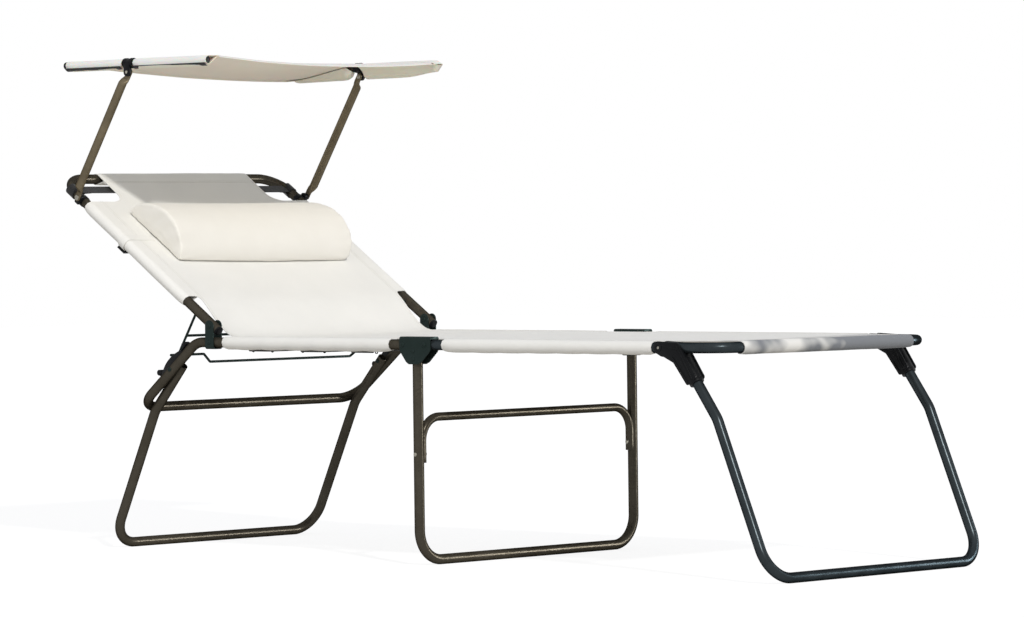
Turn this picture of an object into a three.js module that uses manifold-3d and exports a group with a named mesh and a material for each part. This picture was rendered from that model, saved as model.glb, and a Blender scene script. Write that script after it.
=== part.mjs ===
// Canopy sun lounger: folding steel tube frames, sleeved fabric covers, a head pillow and a tilting canopy.
// Lengths are in millimetres. X runs across the lounger, Y from the foot end to the head end, and Z up.
// The rails lie at -X (right side of a person lying on it) and +X (left side). Y starts at the middle leg.
import * as THREE from 'three';
import { mergeVertices } from 'three/addons/utils/BufferGeometryUtils.js';
import Module from 'manifold-3d';

const wasm = await Module();
wasm.setup();

// Overall sizes
const railSpacing = 672; // between the centrelines of the two rails
const railHeight = 466; // centreline of the rails above the floor
const seatLength = 683; // middle leg to the bend of the seat rails
const footLength = 838; // middle leg to the centreline of the foot end bar
const backLength = 596.5; // hinge pin to the centreline of the top bar
const backAngle = 33.5; // degrees above level, as it stands in use
const canopyLength = 459;

// Frame tube and the clearances that running and resting pieces keep
const tubeRadius = 11;
const tubeWall = 1.2;
const fit = 0.3;
const overrun = 20; // how far a cutter reaches past what it cuts

// Round and flat faces
const tubeSides = 10;
const boreSides = 6;
const rodSides = 6;
const arcSegments = 6;
const bendStep = 30; // degrees between the rings of a bend, at most
const turnedSides = 8;

// Seat frame: two level rails that drop to a crossbar at the head end
const headDropRun = 187;
const headDrop = 146.7;
const seatBendRadius = 60;
const headCornerRadius = 50;
const midPinOffset = 32; // middle leg to the pins of the middle brackets

// Back frame and its hinge
const hingeInset = 55; // hinge pin short of the bend of the seat rails
const hingeRise = 36; // hinge pin above the seat rail
const backCornerRadius = 62;
const backTail = 18; // tube past the hinge pin
const hingePinRadius = 4;
const hingeBracket = { length: 26, web: 3.2, head: 13, cheek: 2, webGap: 0.4 };
const plug = { insert: 10, cap: 2, lip: 0.8 };

// Prop frame under the back and the racks that its cross rod stands in
const propAlong = 76; // hinge pin to the prop stubs, along the back
const propRodRadius = 2.5;
const propGap = 5; // rail surface to the centreline of the side rods
const propFoot = { run: 77, drop: 40 }; // cross rod, from the bend of the seat rails and below their tops
const propRatio = 1.25; // the prop turns this much against the back
const propBendRadius = 6;
const propStub = 10;
const propOverhang = 7; // cross rod past the rail centreline
const propCrank = { inset: 93, width: 24, run: 6, drop: 18 }; // inset from the rail centreline
const secondRodShare = 0.6; // of the way down the prop's side rods
const rack = { start: 37, end: 128, width: 15, skirt: 5, notch: 3.4, notchWidth: 7, rodGap: 0.8 };
const rackKnob = { along: 133, radius: 6.5 };
const rackAngles = [52, 42.5, 33.5, 24, 15]; // degrees of the back in each notch
const rackSteps = 14;
const backTravel = { down: 33.5, up: 22.5 };

// Head leg: hangs on the dropped tubes and bears on the head crossbar
const headLegPinAlong = 98; // from the seat bend, down the dropped tube
const headLegGap = 1; // between the dropped tube and the leg tube beside it
const headLegBend = 128; // from its pin to where it bears on the crossbar
const headLegReach = 308; // its floor bar, from the bend of the seat rails
const headLegStub = 11;
const legBendRadius = 60;
const legCornerRadius = 64;
const pivotPinRadius = 3;
const pinHead = { radius: 6, height: 2.6, crown: 1.2 };

// Middle leg, its brace and the brackets that join the two halves of the frame
const midBracket = { foot: 50, head: 41, waist: 18, drop: 41, shoulder: 12, cheek: 2, gap: 0.4, flange: 6 };
const midRivetDrops = [13, 30];
const brace = { radius: 9, gap: 0.4, sink: 10, height: 312.5, foot: 217.5, rivet: 235, corner: 50 }; // cupped to the legs
const rivetRadius = 2.5;

// Foot frame and foot leg
const footCornerRadius = 66;
const footPinY = -692;
const footLeg = { topRun: -59, topDrop: 26, bendRun: -143, bendDrop: 141, floor: -968 };
const socket = { wall: 3.5, slotGap: 0.4, nose: 2, sleeveGap: 1 };
const socketNose = { low: -50, high: 95 }; // degrees about the pin, where its round nose starts and ends
const socketOutline = { // from the foot leg pin, towards the head and up
  mouthLow: [-76, -75.4], throat: [-40, -30], chin: [-8, -17], shoulder: [-54, 9], mouthHigh: [-100, -59],
};
const footLegFold = 118; // degrees

// Covers
const cover = { gap: 0.35, wall: 3.15, top: 2, thick: 2.6, sag: 6, openInset: 28, step: 0.5 };
const seatCover = { start: 36, sleeveStart: 75, hingeRoom: 38, sleeveRoom: 39 };
const footCover = { start: 36, sleeveStart: 81, sleeveEnd: 670, openInset: 24, endInset: 68 };
const backCover = { start: -28, sleeveStart: 100, sleeveEnd: 484, notchStart: 490, notchEnd: 517 };
const backNotch = { outer: 66, inner: 104 }; // from the rail centreline
const coverColumns = 12;
const coverRows = 8;

// Elastic lacing under the seat
const lacing = { radius: 2.4, inset: 5, drop: 2.1, bend: 12 }; // inset from the rail, drop below the sleeve
const lacingSideShares = [0.1226, 0.2588, 0.43, 0.5603, 0.7451, 0.8619]; // runs along the right sleeve
const lacingCrossShares = [0.25, 0.75]; // where a run along the left rail starts and ends between two of them

// Strap across the back, pillow and its straps
const backStrap = { along: 545, width: 26, thick: 2, height: 3, wall: 1.85 };
const pillow = { start: 236, end: 428, height: 76, inset: 71, lift: 0.5 };
const pillowColumns = 18;
const pillowRing = 20;
// How full its ends are, how late it draws in, how its rings crowd there, and how round its section is
const pillowShares = { end: 0.12, narrow: 0.62, drawIn: 8, crowd: 1.35, flank: 0.8, crown: 0.75 };
const pillowStrap = { along: 331, width: 20, thick: 1.3, gap: 0.4, pillowGap: 3, wrap: 12 };

// Canopy arms, canopy tubes and their clamps
const armClamp = { along: 506, rise: 9.2 }; // lower bolt, from the hinge pin along the back and above its rail
const arm = { radius: 9.5, length: 329.8, angle: 123.1 };
const armTab = { flat: 2, half: 8, end: 8, shoulder: 12, taper: 30 };
const armBolt = { radius: 3, head: 6.5, height: 3.6 };
const footClamp = { wall: 2.4, length: 15, reach: 6.5 };
const canopyTube = { radius: 8, wall: 1.2, out: -0.85, rise: 20, footReach: 249 }; // out from the arm
const canopyClamp = { outer: 11.6, length: 30, lug: 9.5, gap: 0.4, thick: 7.8 };
const canopyCap = { insert: 12, cap: 4, lip: 0.9 };
const canopyCover = { sleeve: 10, bore: 8.35, top: 9.2, thick: 2, sag: 8, inset: 8, gap: 38, openInset: 16 };
const canopyRows = 3; // of the sheet on each side of the clamps

// Values that follow
const railX = railSpacing / 2;
const hingeY = seatLength - hingeInset;
const headLegInset = 2 * tubeRadius + headLegGap; // rail centreline to the leg tube
const braceInset = tubeRadius + brace.radius - brace.sink;
const propSideX = railX - tubeRadius - propGap;
const socketSlot = tubeRadius + socket.slotGap; // half the room for the rail between its cheeks
const socketHalf = socketSlot + socket.wall;
const socketWebTop = tubeRadius + fit; // below the rail centreline
const sleeveBore = tubeRadius + cover.gap;
const sleeveRadius = sleeveBore + cover.wall;
const coverTop = tubeRadius + cover.top; // of the panel above the rail centreline, at the rails
const openEdge = railX - cover.openInset;
const notchEdge = { outer: railX - backNotch.outer, inner: railX - backNotch.inner };
const pillowHalf = railX - pillow.inset;
const footClampRadius = sleeveBore + footClamp.wall;
const footClampFace = railX + footClampRadius + footClamp.reach;
const armX = footClampFace + armTab.flat + fit;
const canopyX = armX + canopyTube.out;
const canopyClampFace = armX + armTab.flat + canopyClamp.gap;
const canopyClampBack = canopyClampFace + canopyClamp.thick;
const barHeight = tubeRadius * Math.cos(Math.PI / tubeSides); // bar centreline with a flat on the floor
const hingeZ = railHeight + hingeRise;
const dropSlope = Math.atan2(headDrop, headDropRun);
const headBarY = seatLength + headDropRun;
const headBarZ = railHeight - headDrop;
const turn = THREE.MathUtils.degToRad;
const SIDES = [['right', -1], ['left', 1]];

// Finishes
const finish = (color, roughness, metalness) =>
  new THREE.MeshStandardMaterial({ color, roughness, metalness });
const frameLacquer = finish(0x4a4038, 0.35, 0.6);
const bracketLacquer = finish(0x26302f, 0.45, 0.5);
const steel = finish(0x8d8a84, 0.35, 0.9);
const blackPlastic = finish(0x161616, 0.5, 0);
const coverFabric = finish(0xf0f0ec, 0.9, 0);
const pillowFabric = finish(0xf4f1eb, 0.9, 0);
const canopyFabric = finish(0xdcd8c8, 0.9, 0);
const blackWebbing = finish(0x1b1b1d, 0.9, 0);
const elastic = finish(0x2b2b2d, 0.9, 0);
const whiteElastic = finish(0xe8e6e0, 0.9, 0);

// Turns a three.js geometry into a closed solid with its faces pointing out.
function solid(geometry) {
  const bare = geometry.clone();
  bare.deleteAttribute('normal');
  bare.deleteAttribute('uv');
  const merged = mergeVertices(bare);
  const place = merged.attributes.position;
  const index = merged.index.array;
  const faces = [];
  let volume = 0;
  const corner = [new THREE.Vector3(), new THREE.Vector3(), new THREE.Vector3()];
  for (let i = 0; i < index.length; i += 3) {
    const [a, b, c] = [index[i], index[i + 1], index[i + 2]];
    if (a === b || b === c || c === a) continue;
    faces.push([a, b, c]);
    [a, b, c].forEach((v, k) => corner[k].fromBufferAttribute(place, v));
    volume += corner[0].dot(corner[1].clone().cross(corner[2]));
  }
  const ordered = volume < 0 ? faces.map(([a, b, c]) => [a, c, b]) : faces;
  return new wasm.Manifold(new wasm.Mesh({
    numProp: 3,
    vertProperties: new Float32Array(place.array),
    triVerts: new Uint32Array(ordered.flat()),
  }));
}

// Turns a solid back into a geometry.
function geometryOf(body) {
  const { vertProperties, triVerts } = body.getMesh();
  const geometry = new THREE.BufferGeometry();
  geometry.setAttribute('position', new THREE.BufferAttribute(new Float32Array(vertProperties), 3));
  geometry.setIndex(new THREE.BufferAttribute(new Uint32Array(triVerts), 1));
  geometry.computeVertexNormals();
  return geometry;
}

const join = (bodies) => bodies.reduce((sum, body) => sum.add(body));
const cut = (body, cutters) => cutters.reduce((rest, cutter) => rest.subtract(cutter), body);

// Adds one named piece to a group.
function place(group, name, body, material) {
  const mesh = new THREE.Mesh(geometryOf(body), material);
  mesh.name = name;
  group.add(mesh);
}

// A centreline of straight runs and round bends, with rings only where the direction changes.
class BentPath extends THREE.Curve {
  // Each corner is [x, y, z] or [x, y, z, bend radius].
  constructor(corners) {
    super();
    this.points = [];
    this.tangents = [];
    const at = corners.map(([x, y, z]) => new THREE.Vector3(x, y, z));
    corners.forEach(([, , , radius], i) => {
      const into = i > 0 ? at[i].clone().sub(at[i - 1]).normalize() : null;
      const out = i < at.length - 1 ? at[i + 1].clone().sub(at[i]).normalize() : null;
      if (!radius || !into || !out) {
        this.points.push(at[i]);
        this.tangents.push(into && out ? into.clone().add(out).normalize() : (into ?? out));
        return;
      }
      const angle = into.angleTo(out);
      const inward = out.clone().addScaledVector(into, -into.dot(out)).normalize();
      const start = at[i].clone().addScaledVector(into, -radius * Math.tan(angle / 2));
      const centre = start.clone().addScaledVector(inward, radius);
      const steps = Math.max(1, Math.ceil(angle / turn(bendStep)));
      for (let k = 0; k <= steps; k += 1) {
        const phi = (angle * k) / steps;
        this.points.push(centre.clone()
          .addScaledVector(inward, -radius * Math.cos(phi))
          .addScaledVector(into, radius * Math.sin(phi)));
        this.tangents.push(into.clone().multiplyScalar(Math.cos(phi)).addScaledVector(inward, Math.sin(phi)));
      }
    });
  }

  station(u) {
    return Math.round(u * (this.points.length - 1));
  }

  getPointAt(u, target = new THREE.Vector3()) {
    return target.copy(this.points[this.station(u)]);
  }

  getTangentAt(u, target = new THREE.Vector3()) {
    return target.copy(this.tangents[this.station(u)]);
  }
}

// The corners of a regular polygon, as points of a shape.
function ring(radius, sides, phase) {
  return Array.from({ length: sides }, (_, i) => {
    const angle = phase + (i * 2 * Math.PI) / sides;
    return new THREE.Vector2(radius * Math.cos(angle), radius * Math.sin(angle));
  });
}

// A tube or rod along a path. A wall makes it hollow, and a facing direction gets a flat at mid-length.
function tubeAlong(corners, radius, { wall = 0, facing = null, sides = tubeSides } = {}) {
  const path = new BentPath(corners);
  const steps = path.points.length - 1;
  const frames = path.computeFrenetFrames(steps, false);
  const middle = Math.floor(steps / 2);
  const [normal, binormal] = [frames.normals[middle], frames.binormals[middle]];
  const lean = facing ? Math.atan2(facing.dot(binormal), facing.dot(normal)) : 0;
  const phase = lean + Math.PI / sides;
  const section = new THREE.Shape(ring(radius, sides, phase));
  if (wall) section.holes.push(new THREE.Path(ring(radius - wall, boreSides, phase)));
  return solid(new THREE.ExtrudeGeometry(section, { steps, extrudePath: path, bevelEnabled: false }));
}

// A turned piece along X: each profile point is [distance along X, radius], from axis to axis.
function turnedAlongX(profile, y, z, sides = turnedSides) {
  const points = profile.map(([x, radius]) => new THREE.Vector2(radius, x));
  const geometry = new THREE.LatheGeometry(points, sides);
  geometry.rotateZ(-Math.PI / 2);
  geometry.translate(0, y, z);
  return solid(geometry);
}

// The corner radius of a bore whose flats clear a pin of this radius by the fit.
const pinHole = (radius) => (radius + fit) / Math.cos(Math.PI / turnedSides);

// A round bar along X between two places, for cutting bores.
const barAlongX = (x0, x1, radius, y, z, sides = turnedSides) =>
  turnedAlongX([[x0, 0], [x0, radius], [x1, radius], [x1, 0]], y, z, sides);

// A pin with a domed head at each end. It holds what lies between x0 and x1.
function pinAlongX(x0, x1, radius, y, z) {
  const { radius: head, height, crown } = pinHead;
  return turnedAlongX([
    [x0 - height, 0], [x0 - height, head - crown], [x0, head], [x0, radius],
    [x1, radius], [x1, head], [x1 + height, head - crown], [x1 + height, 0],
  ], y, z);
}

// A flat plate: an outline of [y, z] points, or arcs drawn by the caller's shape, between x0 and x1.
function plateAlongX(outline, x0, x1) {
  const shape = Array.isArray(outline)
    ? new THREE.Shape(outline.map(([y, z]) => new THREE.Vector2(y, z)))
    : outline;
  const options = { depth: x1 - x0, bevelEnabled: false, curveSegments: arcSegments };
  const geometry = new THREE.ExtrudeGeometry(shape, options);
  geometry.applyMatrix4(new THREE.Matrix4().set(0, 0, 1, x0, 1, 0, 0, 0, 0, 1, 0, 0, 0, 0, 0, 1));
  return solid(geometry);
}

// A rectangular block between two corners.
function block([x0, y0, z0], [x1, y1, z1]) {
  const geometry = new THREE.BoxGeometry(x1 - x0, y1 - y0, z1 - z0);
  geometry.translate((x0 + x1) / 2, (y0 + y1) / 2, (z0 + z1) / 2);
  return solid(geometry);
}

// A solid skinned over rings of points, all with the same count, closed by a flat end on each.
function loft(rings) {
  const count = rings[0].length;
  const places = rings.flat(2);
  const faces = [];
  for (let i = 0; i < rings.length - 1; i += 1) {
    for (let k = 0; k < count; k += 1) {
      const next = (k + 1) % count;
      const [a, b] = [i * count + k, i * count + next];
      faces.push(a, b, b + count, a, b + count, a + count);
    }
  }
  const last = (rings.length - 1) * count;
  for (let k = 1; k < count - 1; k += 1) {
    faces.push(0, k + 1, k, last, last + k, last + k + 1);
  }
  const geometry = new THREE.BufferGeometry();
  geometry.setAttribute('position', new THREE.Float32BufferAttribute(places, 3));
  geometry.setIndex(faces);
  return solid(geometry);
}

// A sheet of cloth with its thickness: rows of [y, half width], and a top surface height(x, y).
function slab(rows, height, thick, columns = coverColumns) {
  const rings = rows.map(([y, half]) => {
    const across = Array.from({ length: columns + 1 }, (_, k) => -half + (2 * half * k) / columns);
    const top = across.map((x) => [x, y, height(x, y)]);
    const under = across.slice().reverse().map((x) => [x, y, height(x, y) - thick]);
    return [...top, ...under];
  });
  const count = rings[0].length;
  const faces = [];
  for (let i = 0; i < rings.length - 1; i += 1) {
    for (let k = 0; k < count; k += 1) {
      const next = (k + 1) % count;
      const [a, b] = [i * count + k, i * count + next];
      faces.push(a, b, b + count, a, b + count, a + count);
    }
  }
  const last = (rings.length - 1) * count;
  for (let k = 0; k < columns; k += 1) {
    const [a, b, c, d] = [k, k + 1, count - 2 - k, count - 1 - k];
    faces.push(a, c, b, a, d, c, last + a, last + b, last + c, last + a, last + c, last + d);
  }
  const geometry = new THREE.BufferGeometry();
  geometry.setAttribute('position', new THREE.Float32BufferAttribute(rings.flat(2), 3));
  geometry.setIndex(faces);
  return solid(geometry);
}

// Evenly spaced rows of one width, from y0 to y1.
const rowsBetween = (y0, y1, half, count = coverRows) =>
  Array.from({ length: count + 1 }, (_, i) => [y0 + ((y1 - y0) * i) / count, half]);

// Seat frame

// A place on a dropped tube: distance down it from the bend, and height square to it.
const onDrop = (along, above) => [
  seatLength + along * Math.cos(dropSlope) + above * Math.sin(dropSlope),
  railHeight - along * Math.sin(dropSlope) + above * Math.cos(dropSlope),
];

const headLegPin = onDrop(headLegPinAlong, 0);

// What is cut off the end of a rail so that it is round about its pin. inward is +1 or -1 along Y.
function noseCutter(sign, pinY, inward) {
  const [x0, x1] = [sign * railX - tubeRadius - overrun, sign * railX + tubeRadius + overrun];
  const far = pinY - inward * (tubeRadius + overrun);
  const bulk = block([x0, Math.min(far, pinY), railHeight - tubeRadius - overrun],
    [x1, Math.max(far, pinY), railHeight + tubeRadius + overrun]);
  return bulk.subtract(barAlongX(x0 - overrun, x1 + overrun, tubeRadius, pinY, railHeight, 2 * tubeSides));
}

// A hole along X through one tube, whose flats clear the pin by the fit at any turn.
const crossHole = (x, radius, y, z) =>
  barAlongX(x - tubeRadius - overrun, x + tubeRadius + overrun, pinHole(radius), y, z);

function seatFrame() {
  const end = midPinOffset - tubeRadius;
  const bars = tubeAlong([
    [-railX, end, railHeight],
    [-railX, seatLength, railHeight, seatBendRadius],
    [-railX, headBarY, headBarZ, headCornerRadius],
    [railX, headBarY, headBarZ, headCornerRadius],
    [railX, seatLength, railHeight, seatBendRadius],
    [railX, end, railHeight],
  ], tubeRadius, { wall: tubeWall });
  const cutters = SIDES.flatMap(([, sign]) => [
    noseCutter(sign, midPinOffset, 1),
    crossHole(sign * railX, pivotPinRadius, midPinOffset, railHeight),
    crossHole(sign * railX, rivetRadius, hingeY, railHeight),
    crossHole(sign * railX, pivotPinRadius, ...headLegPin),
  ]);
  return cut(bars, cutters);
}

// A U-shaped bracket whose web passes under the rail and whose cheeks carry the hinge pin.
function backHingeBracket(sign) {
  const inner = tubeRadius + hingeBracket.webGap;
  const outer = inner + hingeBracket.cheek;
  const half = hingeBracket.length / 2;
  const x = sign * railX;
  const foot = railHeight - inner - hingeBracket.web;
  const cheekShape = new THREE.Shape();
  cheekShape.moveTo(hingeY - half, foot);
  cheekShape.lineTo(hingeY + half, foot);
  cheekShape.lineTo(hingeY + half, hingeZ);
  cheekShape.absarc(hingeY, hingeZ, hingeBracket.head, 0, Math.PI, false);
  const body = plateAlongX(cheekShape, x - outer, x + outer);
  const slot = block([x - inner, hingeY - half - overrun, railHeight - inner],
    [x + inner, hingeY + half + overrun, hingeZ + hingeBracket.head + overrun]);
  const holes = [crossHole(x, rivetRadius, hingeY, railHeight), crossHole(x, hingePinRadius, hingeY, hingeZ)];
  return cut(body, [slot, ...holes]);
}

// Half the grip length of a pin through a bracket: its cheek's outer face, and a clearance.
const bracketGrip = tubeRadius + hingeBracket.webGap + hingeBracket.cheek + fit;

// Where the prop's cross rod lies for an angle of the back, on the dropped tube's own axes.
const propFootY = seatLength + propFoot.run;
const propFootZ = railHeight + tubeRadius - propFoot.drop;
function propFootAt(angle) {
  const pivot = (a) => [hingeY + propAlong * Math.cos(turn(a)), hingeZ + propAlong * Math.sin(turn(a))];
  const [y0, z0] = pivot(backAngle);
  const length = Math.hypot(propFootY - y0, propFootZ - z0);
  const lean = Math.atan2(propFootZ - z0, propFootY - y0) + turn((1 - propRatio) * (angle - backAngle));
  const [y1, z1] = pivot(angle);
  const [dy, dz] = [y1 + length * Math.cos(lean) - seatLength, z1 + length * Math.sin(lean) - railHeight];
  return [
    dy * Math.cos(dropSlope) - dz * Math.sin(dropSlope),
    dy * Math.sin(dropSlope) + dz * Math.cos(dropSlope),
  ];
}

// A notched rack that sits on the dropped tube and follows the sweep of the cross rod.
function rackBlock(sign) {
  const clear = propRodRadius + rack.rodGap;
  const [first, last] = [backAngle + backTravel.up, backAngle - backTravel.down];
  const sweep = Array.from({ length: rackSteps + 1 }, (_, i) => {
    const [along, above] = propFootAt(first + ((last - first) * i) / rackSteps);
    return [along, above - clear];
  });
  const outline = [
    [rack.end, rack.skirt], [rack.start, rack.skirt], [rack.start, sweep[0][1]],
    ...sweep,
    [rack.end, sweep[rackSteps][1]],
  ];
  const x0 = sign * railX - rack.width / 2;
  const x1 = sign * railX + rack.width / 2;
  const body = plateAlongX(outline.map((point) => onDrop(...point)), x0, x1);
  const knobHeight = tubeRadius + rackKnob.radius;
  const knob = barAlongX(x0, x1, rackKnob.radius, ...onDrop(rackKnob.along, knobHeight));
  const neck = plateAlongX([
    [rack.end - rackKnob.radius, rack.skirt], [rackKnob.along, rack.skirt],
    [rackKnob.along + rackKnob.radius, knobHeight], [rackKnob.along, knobHeight],
    [rack.end - rackKnob.radius, sweep[rackSteps][1]],
  ].map((point) => onDrop(...point)), x0, x1);
  const notches = rackAngles.map((angle) => {
    const [along, above] = propFootAt(angle);
    const crest = above - clear;
    return plateAlongX([
      [along - rack.notchWidth / 2, crest + clear], [along - rack.notchWidth / 2, crest - rack.notch],
      [along, crest - rack.notch], [along + rack.notchWidth, crest + clear],
    ].map((point) => onDrop(...point)), x0 - overrun, x1 + overrun);
  });
  const reach = rackKnob.along + rackKnob.radius + overrun;
  const saddle = tubeAlong([
    [sign * railX, ...onDrop(0, 0)], [sign * railX, ...onDrop(reach, 0)],
  ], tubeRadius + 2 * fit, { sides: 2 * tubeSides });
  return cut(join([body, knob, neck]), [...notches, saddle]);
}

// Head leg

function headLeg() {
  const x = railX - headLegInset;
  const [pinY, pinZ] = headLegPin;
  const cornerRun = headCornerRadius - headLegInset;
  const cornerShift = headCornerRadius - Math.sqrt(headCornerRadius ** 2 - cornerRun ** 2);
  const toBar = Math.hypot(headBarY - pinY, headBarZ - pinZ) - cornerShift;
  const apart = 2 * (tubeRadius + fit);
  const open = (headLegBend ** 2 + toBar ** 2 - apart ** 2) / (2 * headLegBend * toBar);
  const lean = dropSlope + Math.acos(open);
  const upper = (along) => [pinY + along * Math.cos(lean), pinZ - along * Math.sin(lean)];
  const bars = tubeAlong([
    [-x, ...upper(-headLegStub)],
    [-x, ...upper(headLegBend), legBendRadius],
    [-x, seatLength + headLegReach, barHeight, legCornerRadius],
    [x, seatLength + headLegReach, barHeight, legCornerRadius],
    [x, ...upper(headLegBend), legBendRadius],
    [x, ...upper(-headLegStub)],
  ], tubeRadius, { wall: tubeWall, facing: new THREE.Vector3(0, 0, -1) });
  return cut(bars, SIDES.map(([, sign]) => crossHole(sign * x, pivotPinRadius, pinY, pinZ)));
}

// Middle leg

function midLeg() {
  const top = railHeight + tubeRadius;
  const bars = tubeAlong([
    [-railX, 0, top],
    [-railX, 0, barHeight, legCornerRadius],
    [railX, 0, barHeight, legCornerRadius],
    [railX, 0, top],
  ], tubeRadius, { wall: tubeWall, facing: new THREE.Vector3(0, 0, -1) });
  const cutters = SIDES.flatMap(([, sign]) => [
    ...midRivetDrops.map((drop) => crossHole(sign * railX, rivetRadius, 0, railHeight - drop)),
    crossHole(sign * railX, rivetRadius, 0, brace.rivet),
  ]);
  return cut(bars, cutters);
}

// An inverted U. Its ends are cupped round the inner halves of the legs.
function midBrace() {
  const x = railX - braceInset;
  const bars = tubeAlong([
    [-x, 0, brace.foot],
    [-x, 0, brace.height, brace.corner],
    [x, 0, brace.height, brace.corner],
    [x, 0, brace.foot],
  ], brace.radius, { wall: tubeWall });
  const sides = 2 * tubeSides;
  const legRoom = (tubeRadius + brace.gap) / Math.cos(Math.PI / sides);
  return cut(bars, SIDES.flatMap(([, sign]) => [
    tubeAlong([
      [sign * railX, 0, brace.foot - overrun], [sign * railX, 0, brace.height + overrun],
    ], legRoom, { sides }),
    crossHole(sign * x, rivetRadius, 0, brace.rivet),
  ]));
}

// An inverted channel over the two rail ends and the middle leg. Its flange stops the rails level.
function midBracketChannel(sign) {
  const inner = tubeRadius + midBracket.gap;
  const outer = inner + midBracket.cheek;
  const x = sign * railX;
  const top = railHeight + tubeRadius + midBracket.gap + midBracket.flange;
  const { foot, head, waist, drop, shoulder } = midBracket;
  const body = plateAlongX([
    [-foot, top], [-foot, railHeight - shoulder], [-waist, railHeight - drop],
    [waist, railHeight - drop], [head, railHeight - shoulder], [head, top],
  ], x - outer, x + outer);
  const slot = block([x - inner, -foot - overrun, railHeight - drop - overrun],
    [x + inner, head + overrun, top - midBracket.flange]);
  return cut(body, [
    slot,
    crossHole(x, pivotPinRadius, midPinOffset, railHeight),
    crossHole(x, pivotPinRadius, -midPinOffset, railHeight),
    ...midRivetDrops.map((rivetDrop) => crossHole(x, rivetRadius, 0, railHeight - rivetDrop)),
  ]);
}

// Foot frame and foot leg

function footFrame() {
  const end = tubeRadius - midPinOffset;
  const bars = tubeAlong([
    [-railX, end, railHeight],
    [-railX, -footLength, railHeight, footCornerRadius],
    [railX, -footLength, railHeight, footCornerRadius],
    [railX, end, railHeight],
  ], tubeRadius, { wall: tubeWall });
  const cutters = SIDES.flatMap(([, sign]) => [
    noseCutter(sign, -midPinOffset, -1),
    crossHole(sign * railX, pivotPinRadius, -midPinOffset, railHeight),
    crossHole(sign * railX, pivotPinRadius, footPinY, railHeight),
  ]);
  return cut(bars, cutters);
}

const footLegTop = [footPinY + footLeg.topRun, railHeight - footLeg.topDrop];
const footLegBend = [footPinY + footLeg.bendRun, railHeight - footLeg.bendDrop];

function footLegTube() {
  return tubeAlong([
    [-railX, ...footLegTop],
    [-railX, ...footLegBend, legBendRadius],
    [-railX, footLeg.floor, barHeight, legCornerRadius],
    [railX, footLeg.floor, barHeight, legCornerRadius],
    [railX, ...footLegBend, legBendRadius],
    [railX, ...footLegTop],
  ], tubeRadius, { wall: tubeWall, facing: new THREE.Vector3(0, 0, -1) });
}

// A moulded socket: it holds the leg tube below the rail, and its two cheeks turn on the foot leg pin.
function legSocket(sign) {
  const x = sign * railX;
  const { mouthLow, throat, chin, shoulder, mouthHigh } = socketOutline;
  const from = (run, rise) => [footPinY + run, railHeight + rise];
  const fold = turn(footLegFold);
  const folded = (along, off) => [
    footPinY + along * Math.cos(fold) - off * Math.sin(fold),
    railHeight - along * Math.sin(fold) - off * Math.cos(fold),
  ];
  const body = new THREE.Shape();
  body.moveTo(...from(...mouthLow));
  body.lineTo(...from(...throat));
  body.lineTo(...folded(sleeveRadius, sleeveRadius + socket.sleeveGap));
  body.lineTo(...from(...chin));
  const noseTurns = [turn(socketNose.low), turn(socketNose.high)];
  body.absarc(footPinY, railHeight, tubeRadius + socket.nose, ...noseTurns, false);
  body.lineTo(...from(...shoulder));
  body.lineTo(...from(...mouthHigh));
  const shell = plateAlongX(body, x - socketHalf, x + socketHalf);
  const reach = -mouthHigh[0] + overrun;
  const railSlot = plateAlongX([
    from(-reach, -socketWebTop), from(0, -socketWebTop), from(0, reach), from(-reach, reach),
  ], x - socketSlot, x + socketSlot);
  const foldSlot = plateAlongX([
    folded(0, socketWebTop), folded(reach, socketWebTop),
    from(reach, -reach), from(reach, reach), from(0, reach),
  ], x - socketSlot, x + socketSlot);
  const bore = tubeAlong([
    [x, ...footLegTop], [x, ...footLegBend],
  ], tubeRadius + fit, { sides: 2 * tubeSides });
  return cut(shell, [railSlot, foldSlot, bore, crossHole(x, pivotPinRadius, footPinY, railHeight)]);
}

// Covers

// Sleeves along Y round the rails, and the bores through them.
const sleeveAlong = (x, y0, y1, z, radius, sides = tubeSides) =>
  tubeAlong([[x, y0, z], [x, y1, z]], radius, { sides });

// How far a cover hangs between its rails: nothing at the rails, all of it midway.
const sagAt = (x, sag, half = railX) => sag * (1 - (x / half) ** 2);

// A sag that fades out towards a bar that holds the end of the cover.
const fade = (place, free, held) => 1 - ((place - free) / (held - free)) ** 4;

function seatCoverSolid() {
  const top = railHeight + coverTop;
  const { start, sleeveStart } = seatCover;
  const [sleeveEnd, end] = [hingeY - seatCover.sleeveRoom, hingeY - seatCover.hingeRoom];
  const panel = slab([
    [start, openEdge], [sleeveStart - cover.step, openEdge],
    ...rowsBetween(sleeveStart, sleeveEnd, railX),
    [end, openEdge],
  ], (x) => top - sagAt(x, cover.sag), cover.thick);
  const sleeves = SIDES.map(([, sign]) =>
    sleeveAlong(sign * railX, sleeveStart, sleeveEnd, railHeight, sleeveRadius));
  const bores = SIDES.map(([, sign]) =>
    sleeveAlong(sign * railX, start - overrun, end + overrun, railHeight, sleeveBore));
  return cut(join([panel, ...sleeves]), bores);
}

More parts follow.
